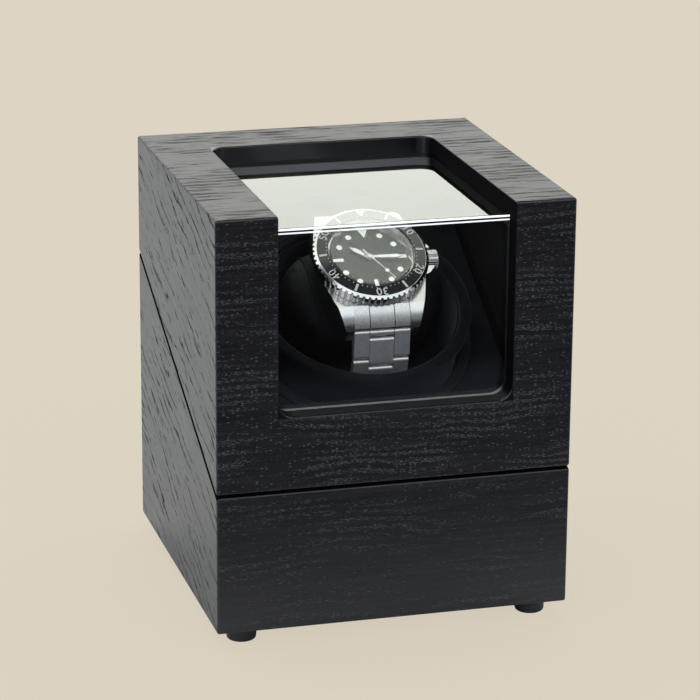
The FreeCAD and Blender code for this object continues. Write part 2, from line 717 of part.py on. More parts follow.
def jack_pin():
    """The contact pin: its free length stands in the bore, and a thinner tail runs on to the solder tag."""
    free = cylinder_y(JACK_PIN, HALF - JACK_DEPTH, HALF - 0.8, JACK_X, PANEL_Z)
    return free.fuse(cylinder_y(JACK_PIN * 0.8, HALF - 16.5, HALF - JACK_DEPTH, JACK_X, PANEL_Z))


def rocker_body():
    """The switch housing: a flanged box with a pocket for the rocker."""
    box = block(ROCKER_X - 5.0, ROCKER_X + 5.0, HALF - 13, HALF, PANEL_Z - 7.5, PANEL_Z + 7.5)
    flange = block(ROCKER_X - 6.4, ROCKER_X + 6.4, HALF, HALF + 1.2, PANEL_Z - 9.0, PANEL_Z + 9.0)
    flange = flange.makeFillet(0.5, [e for e in flange.Edges if e.BoundBox.YMin > HALF + 1.1])
    pocket = block(ROCKER_X - 4.0, ROCKER_X + 4.0, HALF - 4.5, HALF + 5, PANEL_Z - 6.4, PANEL_Z + 6.4)
    return fuse([box, flange]).cut(pocket).cut(rocker_pivot(PIVOT_RADIUS + RUNNING_GAP, 4.65))


def rocker_pivot(radius, reach):
    start = Vector(ROCKER_X - reach, HALF - PIVOT_DEPTH, PANEL_Z)
    return Part.makeCylinder(radius, 2 * reach, start, ABOUT_X)


def rocker_key():
    """The key, tipped one way at rest; it pivots on two stubs that sit in holes in the housing."""
    pivot = Vector(ROCKER_X, HALF - PIVOT_DEPTH, PANEL_Z)
    profile = [(-5.6, 0.0), (-5.6, 2.6), (0.0, 1.9), (5.6, 2.6), (5.6, 0.0), (0.0, -2.2)]
    corners = [Vector(ROCKER_X - 3.8, pivot.y + out, pivot.z + up) for up, out in profile]
    key = Part.Face(Part.makePolygon(corners + corners[:1])).extrude(Vector(7.6, 0, 0))
    key = fuse([key, rocker_pivot(PIVOT_RADIUS, 4.5)])
    return turned(key, ABOUT_X, -ROCKER_TILT, pivot)


def mode_switch():
    face = HALF - PANEL_THICKNESS - 0.1
    body = block(KNOB_X - 6.5, KNOB_X + 5.2, HALF - 13, face, PANEL_Z - 6.5, PANEL_Z + 6.5)
    neck = cylinder_y(3.0, HALF - 4, HALF + 1.0, KNOB_X, PANEL_Z)
    return fuse([body, neck]).cut(cylinder_y(1.55, HALF - 9, BIG, KNOB_X, PANEL_Z))


def mode_knob():
    """A fluted knob with a pointer rib, on a stem that enters the switch."""
    face = HALF + KNOB_REACH
    knob = cylinder_y(7.0, HALF + 1.3, face, KNOB_X, PANEL_Z)
    knob = knob.makeFillet(0.8, [e for e in knob.Edges if e.BoundBox.YMin > face - 0.1])
    flutes = []
    for number in range(18):
        angle = math.radians(20 * number + 10)
        x = KNOB_X + 7.3 * math.cos(angle)
        z = PANEL_Z + 7.3 * math.sin(angle)
        flutes.append(cylinder_y(0.7, HALF + 2.8, face + 1, x, z))
    pointer = block(KNOB_X - 0.5, KNOB_X + 0.5, HALF + 7.9, HALF + 9, PANEL_Z + 1.5, PANEL_Z + 6.2)
    stem = cylinder_y(1.5, HALF - 8.5, HALF + 3, KNOB_X, PANEL_Z)
    return fuse([knob.cut(Part.makeCompound(flutes)), stem]).cut(pointer)


def control_board():
    """A circuit board with its chip, capacitor, plugs and trimmer, on four spacers."""
    x0, y0, z0 = BOARD_X, BOARD_Y, BOTTOM_TOP + 5.0
    board = block(x0, x0 + 38, y0, y0 + 30, z0, z0 + 1.6)
    chip = block(x0 + 12, x0 + 21, y0 + 12, y0 + 18, z0 + 1.6, z0 + 3.2)
    can = cylinder(4.0, z0 + 1.6, z0 + 11, x0 + 30, y0 + 9)
    plugs = [block(x0 + 5.5, x0 + 12, y + y0, y + y0 + 6, z0 + 1.6, z0 + 7.6) for y in (3, 21)]
    resistors = []
    for number in range(4):
        x = x0 + 24 + 3 * number
        resistors.append(block(x, x + 1.6, y0 + 19, y0 + 22.2, z0 + 1.6, z0 + 2.2))
    holes = [cylinder(1.6, 0, BIG, x, y) for x, y in BOARD_SPOTS]
    board = board.cut(Part.makeCompound(holes))
    return [board, chip, can] + plugs + resistors


def board_standoffs():
    """Nylon snap-in standoffs: a foot, a neck through the board and a barbed head above it."""
    low = BOTTOM_TOP
    one = revolve([
        (0, low), (3.0, low), (3.0, low + 1.0), (2.3, low + 1.0), (2.3, low + 5.0), (1.5, low + 5.0),
        (1.5, low + 6.65), (2.0, low + 6.65), (1.0, low + 8.6), (0, low + 8.6),
    ])
    return [moved(one, x, y, 0) for x, y in BOARD_SPOTS]


def lead(points, radius):
    """A round wire through the given points."""
    curve = Part.BSplineCurve()
    curve.interpolate([Vector(*p) for p in points])
    path = Part.Wire([curve.toShape()])
    start = curve.value(curve.FirstParameter)
    tangent = curve.tangent(curve.FirstParameter)[0]
    profile = Part.Wire([Part.makeCircle(radius, start, tangent)])
    return path.makePipeShell([profile], True, True)


def motor_lead():
    tail = DRUM_PLACE.multVec(Vector(0, -MOTOR_OFFSET, PLATE_TOP - PLATE_THICKNESS - 36.4))
    wires = []
    for dx in (-1.6, 1.6):
        wires.append(lead([
            (dx, tail.y + 0.4, tail.z - 0.7), (dx + 1, tail.y + 3.0, tail.z - 3.4),
            (6 + dx, 2.0, BOTTOM_TOP + 4.0), (14.0 + dx, 6.0, BOTTOM_TOP + 16.0),
            (16.5 + dx, 12.0, BOTTOM_TOP + 13.5),
        ], 0.6))
    return wires


def power_lead():
    wires = []
    for dx in (-1.4, 1.4):
        wires.append(lead([
            (JACK_X + dx, HALF - 17.2, PANEL_Z + 2.0), (JACK_X + 4 + dx, 44.0, PANEL_Z - 4.0),
            (2.0 + dx, 38.0, BOTTOM_TOP + 18.0), (16.5 + dx, 30.0, BOTTOM_TOP + 13.5),
        ], 0.6))
    return wires


# ---------------------------------------------------------------- cushion
def watch_cushion():
    """A plain padded block, oval in plan and arched on top, that the bracelet closes around."""
    long_half, short_half = 35.0, 27.5
    low, high = -42.5, -9.6
    arch = 38.0
    oval = Part.Ellipse(Vector(), long_half, short_half).toShape()
    solid = Part.Face(Part.Wire([oval])).extrude(Vector(0, 0, high - low))
    solid = solid.makeFillet(12.0, [e for e in solid.Edges if e.BoundBox.ZLength < TOUCH])
    solid = solid.common(Part.makeCylinder(arch, 2 * BIG, Vector(-BIG, 0, high - 0.6 - arch - low), ABOUT_X))
    return placed(moved(solid, 0, -1.0, low), WATCH_PLACE)


# ---------------------------------------------------------------- watch
def across(radius, y, z):
    """A long cylinder across the watch, seen as a circle from the side."""
    return Part.makeCylinder(radius, 80, Vector(-40, y, z), ABOUT_X)


def under_arch(radius):
    """Everything under the curve that lugs and end links follow down, on the side of the twelve."""
    return across(radius, ARCH_Y, ARCH_Z).fuse(block(-40, 40, 0, ARCH_Y, -20, ARCH_Z + radius))


def lug():
    """One lug: straight beside the bracelet, curved outside, bevelled at its tip and hollowed underneath."""
    start = Vector(21.0, 4.0, LUG_BOTTOM)
    shoulder = Vector(14.6, LUG_TIP - 0.6, LUG_BOTTOM)
    outside = Part.Arc(start, Vector(18.1, 17.4, LUG_BOTTOM), shoulder).toShape()
    corners = [(14.0, LUG_TIP), (LUG_GAP, LUG_TIP), (LUG_GAP, start.y)]
    rest = Part.makePolygon([shoulder] + [Vector(x, y, LUG_BOTTOM) for x, y in corners] + [start])
    solid = Part.Face(Part.Wire([outside] + rest.Edges)).extrude(Vector(0, 0, LUG_TOP - LUG_BOTTOM))
    return solid.common(under_arch(ARCH_RADIUS)).cut(across(40.0, 0, -48.0))


def watch_case():
    """A round middle with four lugs that curve down, two crown guards and a well for the movement."""
    middle = cylinder(CASE_RADIUS, -6.8, -0.1)
    right = [lug(), lug().mirror(Vector(), ABOUT_Y)]
    guard = prism([(18, -9.5), (22.5, -7.6), (24.6, -5.2), (24.6, -4.4), (18, -4.4)], -5.2, LUG_TOP)
    guards = [guard, guard.mirror(Vector(), ABOUT_Y)]
    case = fuse([middle] + right + [mirrored_x(one) for one in right] + guards)
    back = revolve([(0, -9.1), (14.5, -9.1), (17.6, -7.6), (17.6, -6.7), (0, -6.7)])
    collar = revolve([(14.9, 0.02), (14.9, -0.1), (16.5, -0.1), (16.5, 2.28), (15.9, 2.28)])
    neck = ring(16.5, 16.2, -0.5, 0.02)
    case = fuse([case.cut(cylinder(16.2, -6.5, 5)), back, neck, collar])
    stem = Part.makeCylinder(1.3, 12, Vector(14, 0, -3.2), ABOUT_X)
    return placed(case.cut(stem), WATCH_PLACE)


def watch_movement():
    body = cylinder(15.8, -6.4, -0.95)
    return placed(body.cut(cylinder(1.4, -4.0, 0)), WATCH_PLACE)


def scalloped_ring(radius, depth, count, z0, z1):
    """An edge milled with equal round notches, as on a coin."""
    edges = []
    step = 2 * math.pi / count
    for number in range(count):
        start = step * number
        crest = [polar(radius, start + step * share, z0) for share in (0, 0.25, 0.5)]
        notch = [crest[2], polar(radius - depth, start + step * 0.75, z0), polar(radius, start + step, z0)]
        edges += [Part.Arc(*crest).toShape(), Part.Arc(*notch).toShape()]
    return Part.Face(Part.Wire(edges)).extrude(Vector(0, 0, z1 - z0))


def watch_bezel():
    """The turning ring: a sloping rim, an edge milled right through it and a seat for the insert."""
    seat_rise = 0.6 * (INSERT_OUTER - BEZEL_BORE) / (INSERT_OUTER - INSERT_INNER + 1)
    body = revolve([
        (BEZEL_BORE, 0.05), (CASE_RADIUS + 0.1, 0.05), (CASE_RADIUS + 0.1, BEZEL_LOW),
        (BEZEL_RADIUS, BEZEL_LOW), (BEZEL_RADIUS, BEZEL_SHOULDER), (INSERT_OUTER + 0.1, BEZEL_TOP),
        (INSERT_OUTER, BEZEL_TOP), (INSERT_OUTER, 2.6), (BEZEL_BORE, 2.6 + seat_rise),
    ])
    milled = scalloped_ring(BEZEL_RADIUS + TOUCH, 0.65, SCALLOPS, BEZEL_LOW - 1, BEZEL_TOP + 1)
    return placed(body.common(milled), WATCH_PLACE)


def bezel_insert():
    """A thin band on the seat, sloping down outwards."""
    inner, outer = INSERT_INNER + 0.2, INSERT_OUTER - 0.03
    drop = 0.6 * (inner - INSERT_INNER + 1) / (INSERT_OUTER - INSERT_INNER + 1)
    band = revolve([(inner, 3.22 - drop), (outer, 2.62), (outer, 3.65), (inner, 4.3)])
    return placed(band, WATCH_PLACE)


def crystal():
    glass = cylinder(16.3, 2.3, 4.6)
    top = [e for e in glass.Edges if abs(e.CenterOfMass.z - 4.6) < TOUCH]
    return placed(glass.makeChamfer(0.35, top), WATCH_PLACE)


def dial():
    plate = cylinder(16.1, -0.5, -0.12).cut(cylinder(1.35, -1, 1))
    return placed(plate, WATCH_PLACE)


def hand(outline, angle, z0, z1, extras):
    """A flat hand drawn pointing at twelve, then turned clockwise."""
    blade = prism(outline, z0, z1)
    shape = fuse([blade] + extras)
    return turned(shape, ABOUT_Z, -angle)


def hour_hand():
    outline = [(-0.8, 0), (-1.0, 6.6), (0, 8.8), (1.0, 6.6), (0.8, 0)]
    tube = cylinder(1.2, -1.5, 0.95)
    shape = hand(outline, HOUR_ANGLE, 0.7, 0.95, [tube, cylinder(1.5, 0.7, 0.95)])
    return placed(shape.cut(cylinder(0.85, -3, 3)), WATCH_PLACE)


def minute_hand():
    outline = [(-0.6, 0), (-0.9, 10.6), (0, 13.0), (0.9, 10.6), (0.6, 0)]
    tube = cylinder(0.8, -2.5, 1.4)
    shape = hand(outline, MINUTE_ANGLE, 1.15, 1.4, [tube, cylinder(1.3, 1.15, 1.4)])
    return placed(shape.cut(cylinder(0.45, -5, 3)), WATCH_PLACE)


def second_hand():
    outline = [(-0.25, -4.0), (-0.1, 13.6), (0.1, 13.6), (0.25, -4.0)]
    extras = [cylinder(0.9, 1.6, 1.8, 0, 9.0), cylinder(0.9, 1.6, 1.8), cylinder(0.4, -3.4, 1.8)]
    return placed(hand(outline, SECOND_ANGLE, 1.6, 1.8, extras), WATCH_PLACE)


def crown():
    """A fluted winding crown on its stem, on the three o'clock side."""
    knob = scalloped_ring(3.9, 0.35, 28, 0, 3.8)
    dome = Part.makeCone(3.4, 2.8, 0.5, Vector(0, 0, 3.8))
    stem = cylinder(1.2, -6.9, 0.1)
    shape = fuse([knob, dome, stem])
    shape = turned(shape, ABOUT_Y, 90)
    return placed(moved(shape, 22.9, 0, -3.2), WATCH_PLACE)


# ---------------------------------------------------------------- bracelet
# Where the middle of the bracelet runs, seen from the side in the watch's frame: from the six o'clock
# lugs round under the cushion to the twelve o'clock lugs.
LOOP_SPOTS = [
    (-26.7, -7.85), (-31.2, -15.6), (-35.0, -23.4), (-35.7, -31.6), (-31.8, -40.0), (-22.0, -45.8),
    (0, -48.0), (20.0, -46.0), (28.3, -40.0), (30.9, -31.5), (31.4, -22.0), (30.2, -14.6), (26.7, -7.85),
]
CLASP_HALF = 16.6


def bracelet_loop():
    curve = Part.BSplineCurve()
    curve.interpolate([Vector(0, y, z) for y, z in LOOP_SPOTS])
    return curve.toShape()


def along(loop, distance):
    """The point on the loop at a distance from the six o'clock lugs."""
    return loop.valueAt(loop.getParameterByLength(distance))


def link(start, end, x0, x1, thickness):
    """One link from start to end in the loop's plane, with rounded ends and outer edges."""
    run = end - start
    length = run.Length - LINK_GAP
    solid = block(x0, x1, -length / 2, length / 2, -thickness / 2, thickness / 2)
    ends = []
    for edge in solid.Edges:
        if edge.BoundBox.XLength > 0.1 and abs(abs(edge.CenterOfMass.y) - length / 2) < TOUCH:
            ends.append(edge)
    solid = solid.makeFillet(thickness * 0.42, ends)
    angle = math.degrees(math.atan2(run.z, run.y))
    solid = turned(solid, ABOUT_X, angle)
    middle = (start + end) * 0.5
    return moved(solid, 0, middle.y, middle.z)


def bracelet_side(forwards):
    """The links on one side of the clasp: a short tongue, then outer pairs and staggered centre links."""
    loop = bracelet_loop()
    reach = loop.Length / 2 - CLASP_HALF - 0.7
    tongue_end = LINK_FIRST + LINK_STAGGER
    spans = [(LINK_FIRST, tongue_end, -CENTRE_HALF, CENTRE_HALF, LINK_THICKNESS + 0.1)]
    for number in range(int((reach - LINK_FIRST) / LINK_PITCH)):
        at = LINK_FIRST + number * LINK_PITCH
        inner = CENTRE_HALF + 0.2 - 0.05 * number
        outer = LUG_GAP - 0.1 - 0.16 * number
        spans.append((at, at + LINK_PITCH, inner, outer, LINK_THICKNESS))
        spans.append((at, at + LINK_PITCH, -outer, -inner, LINK_THICKNESS))
        centre = inner - 0.2
        behind = at + LINK_STAGGER
        spans.append((behind, behind + LINK_PITCH, -centre, centre, LINK_THICKNESS + 0.1))
    links = []
    for first, last, x0, x1, thickness in spans:
        if last > reach:
            continue
        if not forwards:
            first, last = loop.Length - first, loop.Length - last
        links.append(placed(link(along(loop, first), along(loop, last), x0, x1, thickness), WATCH_PLACE))
    return links


def clasp():
    """A shallow bent cover plate under the cushion."""
    loop = bracelet_loop()
    stations = [along(loop, loop.Length / 2 + share * CLASP_HALF) for share in (-1, -0.5, 0, 0.5, 1)]
    inner = Part.BSplineCurve()
    inner.interpolate([p + Vector(0, 0, 1.6) for p in stations])
    outer = Part.BSplineCurve()
    outer.interpolate([p - Vector(0, 0, 1.6) for p in stations])
    sides = [Part.makeLine(outer.StartPoint, inner.StartPoint), Part.makeLine(outer.EndPoint, inner.EndPoint)]
    outline = Part.Wire(Part.__sortEdges__([inner.toShape(), outer.toShape()] + sides))
    body = Part.Face(outline).extrude(Vector(17.6, 0, 0))
    return placed(moved(body, -8.8, 0, 0), WATCH_PLACE)


def end_links():
    """The curved pieces between the lugs that join the bracelet to the case."""
    outer = ARCH_RADIUS - 0.3
    half = LUG_GAP - 0.1
    body = block(-half, half, ARCH_Y, LUG_TIP + 1, -20, LUG_TOP - 0.3).common(under_arch(outer))
    body = body.cut(under_arch(outer - END_LINK_THICKNESS)).cut(cylinder(CASE_RADIUS + 0.15, -20, 5))
    beyond = turned(block(-40, 40, 0, 40, -40, 0), ABOUT_X, 90 - END_LINK_TURN)
    body = body.cut(moved(beyond, 0, ARCH_Y, ARCH_Z))
    return [placed(body, WATCH_PLACE), placed(turned(body, ABOUT_Z, 180), WATCH_PLACE)]


# ---------------------------------------------------------------- build
def build():
    os.makedirs("parts", exist_ok=True)
    for name, shape in list(base_panels().items()) + list(lid_panels().items()):
        save(name, shape)
    save("base_bottom_panel", bottom_panel())
    save("case_screws", case_screws())
    save("feet", feet())
    save("foot_screws", foot_screws())
    save("lid_bumpers", lid_bumpers())
    save("inner_collar", inner_collar())
    save("deck_panel", deck_panel())
    save("deck_ring", deck_ring())
    save("hinge_leaves_base", [hinge_leaf(side, False) for side in (-1, 1)])
    save("hinge_leaves_lid", [hinge_leaf(side, True) for side in (-1, 1)])
    save("hinge_pins", hinge_pins())
    save("hinge_screws_base", hinge_screws(False))
    save("hinge_screws_lid", hinge_screws(True))
    save("top_glass", top_glass())
    save("front_glass", front_glass())
    save("top_glass_bead", top_bead())
    save("front_glass_bead", front_bead())
    save("drum_cup", drum_cup())
    save("cup_lining", cup_lining())
    save("drum_gear", drum_gear())
    save("gear_screws", [placed(s, DRUM_PLACE) for s in gear_screws_local()])
    save("spindle", spindle())
    save("spindle_clip", spindle_clip())
    save("spindle_bush", spindle_bush())
    save("drive_plate", drive_plate())
    save("drive_pillars", drive_pillars())
    save("drive_screws", [placed(s, DRUM_PLACE) for s in drive_screws_local()])
    save("motor_pinion", pinion())
    save("gear_motor", gear_motor())
    save("control_plate", control_plate())
    save("dc_jack", [dc_jack(), jack_pin()])
    save("rocker_housing", rocker_body())
    save("rocker_key", rocker_key())
    save("mode_switch", mode_switch())
    save("mode_knob", mode_knob())
    save("control_board", control_board())
    save("board_standoffs", board_standoffs())
    save("wiring", motor_lead() + power_lead())
    save("watch_cushion", watch_cushion())
    save("watch_case", [watch_case()])
    save("watch_bezel", watch_bezel())
    save("bezel_insert", bezel_insert())
    save("crystal", crystal())
    save("dial", dial())
    save("watch_movement", watch_movement())
    save("hour_hand", hour_hand())
    save("minute_hand", minute_hand())
    save("second_hand", second_hand())
    save("crown", crown())
    save("bracelet_links", bracelet_side(True) + bracelet_side(False) + end_links())
    save("clasp", clasp())


build()
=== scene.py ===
"""Looks of the watch winder box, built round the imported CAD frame. Metres, +Z up, -Y is the front."""

import json
import math

import bmesh
import bpy
from mathutils import Matrix, Vector
from mathutils.bvhtree import BVHTree


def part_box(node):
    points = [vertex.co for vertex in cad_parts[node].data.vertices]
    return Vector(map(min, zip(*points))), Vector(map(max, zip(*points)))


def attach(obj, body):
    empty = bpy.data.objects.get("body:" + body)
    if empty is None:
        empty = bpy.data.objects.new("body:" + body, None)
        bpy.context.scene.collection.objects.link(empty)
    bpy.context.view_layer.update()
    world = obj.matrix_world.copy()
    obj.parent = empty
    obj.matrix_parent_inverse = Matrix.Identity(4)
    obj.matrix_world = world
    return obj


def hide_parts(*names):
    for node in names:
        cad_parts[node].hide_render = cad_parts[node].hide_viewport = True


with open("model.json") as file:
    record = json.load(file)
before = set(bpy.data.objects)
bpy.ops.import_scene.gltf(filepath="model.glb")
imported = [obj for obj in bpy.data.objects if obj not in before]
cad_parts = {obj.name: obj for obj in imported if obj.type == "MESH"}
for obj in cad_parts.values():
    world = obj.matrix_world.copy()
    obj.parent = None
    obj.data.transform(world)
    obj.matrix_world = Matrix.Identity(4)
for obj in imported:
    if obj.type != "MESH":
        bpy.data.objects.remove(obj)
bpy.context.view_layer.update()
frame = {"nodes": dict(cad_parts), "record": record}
nodes = frame["nodes"]
slot_of = {part["node"]: part["material_slot"] for part in frame["record"]["subparts"]}
MM = 0.001
X_AXIS = (1, 0, 0)
Y_AXIS = (0, 1, 0)
Z_AXIS = (0, 0, 1)

# The box, in millimetres from the middle of its own footprint. The frame's origin is under the middle of the
# whole outline, so what is measured from the box is moved by SHIFT.
SHIFT = (0.0, -4.15, 0.0)
HALF = 69.0
WALL = 12.0
BOX_TOP = 166.5
SPLIT_FRONT = 60.4
SPLIT_SLOPE = math.radians(22.97)
SPLIT_NORMAL = (0, -math.sin(SPLIT_SLOPE), math.cos(SPLIT_SLOPE))
WINDOW_HALF = 45.3
WINDOW_REAR = 41.5
WINDOW_SILL = 89.7
PANE_FACE = -61.2
PANE_TOP = 159.6
PANE_THICKNESS = 2.0
BOARD_TOP = 18.6
PANEL_Z = 40.0
KNOB_X = 18.0

# The watch. Its own frame has the dial's centre at the origin, twelve o'clock along +Y and +Z outwards.
WATCH_ORIGIN = (Vector((0, -30.5, 137.5)) + Vector(SHIFT)) * MM
WATCH_TILT = math.radians(35.3)
WATCH = Matrix.Translation(WATCH_ORIGIN) @ Matrix.Rotation(WATCH_TILT, 4, "X")
WATCH_UP = (0, math.cos(WATCH_TILT), math.sin(WATCH_TILT))
WATCH_OUT = (0, -math.sin(WATCH_TILT), math.cos(WATCH_TILT))
DIAL_TOP = -0.12
HOUR_ANGLE = 307.7
MINUTE_ANGLE = 92.4
SECOND_ANGLE = 146.5
INSERT_INNER = 16.7
INSERT_OUTER = 20.97
INSERT_MIDDLE = (INSERT_INNER + INSERT_OUTER) / 2
INSERT_HIGH = 4.3
INSERT_LOW = 3.65

# Each end link is a sector of a cylinder along X. Its centre lies this far from the dial's, up and out.
ARCH_Y = 13.9
ARCH_Z = -17.5
END_LINK_TURN = math.radians(53.0)
END_LINK_BOTTOM = -14.0
END_LINK_JOINT = 4.85


# ---------------------------------------------------------------- a short way to write materials
def toned(colour, factor):
    return tuple(channel * factor for channel in colour)


class Look:
    """One material's nodes. Lengths are millimetres in the frame at rest, so patterns ride on bodies."""

    def __init__(self, name, tree=None):
        if tree is None:
            self.material = bpy.data.materials.new(name)
            self.material.use_nodes = True
            tree = self.material.node_tree
        self.tree = tree
        self.tree.nodes.clear()

    def add(self, kind, **settings):
        node = self.tree.nodes.new("ShaderNode" + kind)
        for key, value in settings.items():
            setattr(node, key, value)
        return node

    def feed(self, socket, value):
        """Link a socket to another's output, or set it to a plain value."""
        if isinstance(value, bpy.types.NodeSocket):
            self.tree.links.new(value, socket)
        elif isinstance(value, tuple) and socket.type == "RGBA":
            socket.default_value = (*value, 1)
        else:
            socket.default_value = value

    def wired(self, node, *values):
        """Feed a node's inputs in their order, and give back its outputs."""
        for socket, value in zip(node.inputs, values):
            self.feed(socket, value)
        return node.outputs

    def math(self, operation, *values):
        return self.wired(self.add("Math", operation=operation), *values)[0]

    def plus(self, first, second):
        return self.math("ADD", first, second)

    def minus(self, first, second):
        return self.math("SUBTRACT", first, second)

    def product(self, first, *rest):
        for value in rest:
            first = self.math("MULTIPLY", first, value)
        return first

    def most(self, first, second):
        return self.math("MAXIMUM", first, second)

    def size(self, value):
        return self.math("ABSOLUTE", value)

    def off(self, value, centre):
        """How far a value is from a centre, either way."""
        return self.size(self.minus(value, centre))

    def vector(self, operation, *values):
        outputs = self.wired(self.add("VectorMath", operation=operation), *values)
        return outputs["Value" if operation == "DOT_PRODUCT" else "Vector"]

    def position(self, origin=SHIFT):
        """Where the point is, in millimetres from the box's own middle or from another origin."""
        node = self.add("VectorMath", operation="SCALE")
        node.inputs["Scale"].default_value = 1 / MM
        millimetres = self.wired(node, self.add("TexCoord").outputs["Object"])[0]
        return self.vector("SUBTRACT", millimetres, origin)

    def along(self, axes, origin=(0, 0, 0)):
        """The place measured along three axes, as one vector."""
        place = self.position(origin)
        parts = [self.vector("DOT_PRODUCT", place, axis) for axis in axes]
        return self.wired(self.add("CombineXYZ"), *parts)[0]

    def split(self, vector):
        return self.wired(self.add("SeparateXYZ"), vector)

    def facing(self, axis):
        """How squarely the face looks along an axis, either way, from 0 to 1."""
        normal = self.add("NewGeometry").outputs["Normal"]
        return self.size(self.vector("DOT_PRODUCT", normal, axis))

    def noise(self, vector, sizes, detail=2.0, rough=0.5):
        """Smooth noise whose lumps have the given sizes in millimetres along the three axes."""
        if not isinstance(sizes, tuple):
            sizes = (sizes, sizes, sizes)
        node = self.add("TexNoise")
        self.feed(node.inputs["Vector"], self.vector("DIVIDE", vector, sizes))
        node.inputs["Scale"].default_value = 1.0
        node.inputs["Detail"].default_value = detail
        node.inputs["Roughness"].default_value = rough
        return node.outputs[0]

    def spots(self, vector, sizes):
        """Scattered spots: the distance to the nearest one and that spot's own random number."""
        node = self.add("TexVoronoi")
        self.feed(node.inputs["Vector"], self.vector("DIVIDE", vector, sizes))
        node.inputs["Scale"].default_value = 1.0
        return node.outputs["Distance"], self.split(node.outputs["Color"])[0]

    def pebbles(self, vector, size):
        """Close-set cells: the distance to the nearest edge between two."""
        node = self.add("TexVoronoi", feature="DISTANCE_TO_EDGE")
        self.feed(node.inputs["Vector"], self.vector("DIVIDE", vector, (size, size, size)))
        node.inputs["Scale"].default_value = 1.0
        return node.outputs["Distance"]

    def ramp(self, value, low, high):
        """0 up to low, 1 from high on, and smooth between."""
        return self.wired(self.add("MapRange", interpolation_type="SMOOTHSTEP"), value, low, high)[0]

    def mix(self, share, first, second):
        """Colours, mixed."""
        node = self.add("Mix", data_type="RGBA")
        self.feed(node.inputs[0], share)
        self.feed(node.inputs[6], first)
        self.feed(node.inputs[7], second)
        return node.outputs[2]

    def between(self, share, first, second):
        """Numbers, mixed."""
        node = self.add("Mix", data_type="FLOAT")
        self.feed(node.inputs[0], share)
        self.feed(node.inputs[2], first)
        self.feed(node.inputs[3], second)
        return node.outputs[0]

    def bump(self, height, depth):
        """Relief: height from 0 to 1 stands for the depth in millimetres."""
        node = self.add("Bump")
        self.feed(node.inputs["Height"], height)
        node.inputs["Distance"].default_value = depth * MM
        return node.outputs[0]

    def principled(self, **inputs):
        node = self.add("BsdfPrincipled")
        for key, value in inputs.items():
            self.feed(node.inputs[key.replace("_", " ")], value)
        return node.outputs[0]

    def covered(self, share, under, over):
        """One shader over another."""
        return self.wired(self.add("MixShader"), share, under, over)[0]

    def seen_as(self, thrown, seen):
        """One shader for the light that reaches the object, another for what the camera sees."""
        return self.covered(self.add("LightPath").outputs["Is Camera Ray"], thrown, seen)

    def done(self, shader):
        self.wired(self.add("OutputMaterial"), shader)
        return self.material


# ---------------------------------------------------------------- oak
RING_DRIFT = (80.0, 24.0, 24.0)
DRIFT_REACH = 24.0
RING_WAVE = (18.0, 6.0, 6.0)
WAVE_REACH = 2.6
RING_LEAN = 0.55
ROW_EDGE = 0.14
WINDOW_EDGE = (0.55, 0.15)
INSIDE_EDGE = (0.3, 0.1)
SEAM_FRONT = 0.45
SEAM_SIDE = 1.25
STAIN_DARK = (0.0102, 0.0098, 0.0108)
STAIN_PALE = (0.0192, 0.0188, 0.0198)
STAIN_BROAD = (0.0082, 0.0078, 0.0088)
REVEAL_COLOUR = (0.0050, 0.0050, 0.0062)
# The colour of the painted shade in the seam between lid and base.
SEAM_SHADE_COLOUR = (0.0030, 0.0030, 0.0032)


def open_pores(look, grain, ring_pitch, pore_size, cover, band, wander, strays):
    """Where pores show: in broken rows on the rings that come to the surface, and as strays between them."""
    _, across, inwards = look.split(grain)
    level = look.plus(across, look.product(inwards, RING_LEAN))
    level = look.plus(level, look.product(look.noise(grain, RING_DRIFT), DRIFT_REACH * wander))
    level = look.plus(level, look.product(look.noise(grain, RING_WAVE, 1.0), WAVE_REACH * wander))
    phase = look.math("FRACT", look.math("DIVIDE", level, ring_pitch))
    row = look.ramp(look.off(phase, 0.5), band + ROW_EDGE, band - ROW_EDGE)
    patch = look.ramp(look.noise(grain, (42.0, 15.0, 15.0), 1.0), 0.36, 0.58)
    density = look.product(row, look.between(patch, 0.30, 1.0))

    length, width = pore_size
    dashes = look.noise(grain, (length, width, width), 1.5, 0.6)
    in_rows = look.ramp(look.minus(dashes, look.between(density, 0.72, 0.62 - cover)), 0.0, 0.035)
    distance, chance = look.spots(grain, (length * 1.5, width * 2.2, width * 2.2))
    stray = look.product(look.ramp(distance, 0.36, 0.24), look.ramp(chance, strays, strays - 0.08))
    return look.most(in_rows, stray)


def window_reveal(look):
    """The cut faces of the window, lacquered smooth."""
    x, y, z = look.split(look.position())
    far, near = WINDOW_EDGE
    return look.product(
        look.ramp(look.size(x), WINDOW_HALF + far, WINDOW_HALF + near),
        look.ramp(z, WINDOW_SILL - far, WINDOW_SILL - near),
        look.ramp(y, WINDOW_REAR + far, WINDOW_REAR + near),
    )


def inside_faces(look):
    x, y, z = look.split(look.position())
    inner = HALF - WALL
    ceiling = BOX_TOP - WALL
    far, near = INSIDE_EDGE
    return look.product(
        look.ramp(look.size(x), inner + far, inner + near),
        look.ramp(look.size(y), inner + far, inner + near),
        look.ramp(z, ceiling + far, ceiling + near),
    )


def split_edges(look, sideways):
    """The faces where the lid meets the base, and a line along the seam outside; both get painted shade,
    dark and matte.
    """
    meeting = look.ramp(look.facing(SPLIT_NORMAL), 0.96, 0.985)
    height = look.vector("DOT_PRODUCT", look.position((0, SHIFT[1] - HALF, SPLIT_FRONT)), SPLIT_NORMAL)
    line_half = look.between(sideways, SEAM_FRONT, SEAM_SIDE)
    line = look.ramp(look.minus(look.size(height), line_half), 0.0, -0.2)
    return look.most(meeting, line)


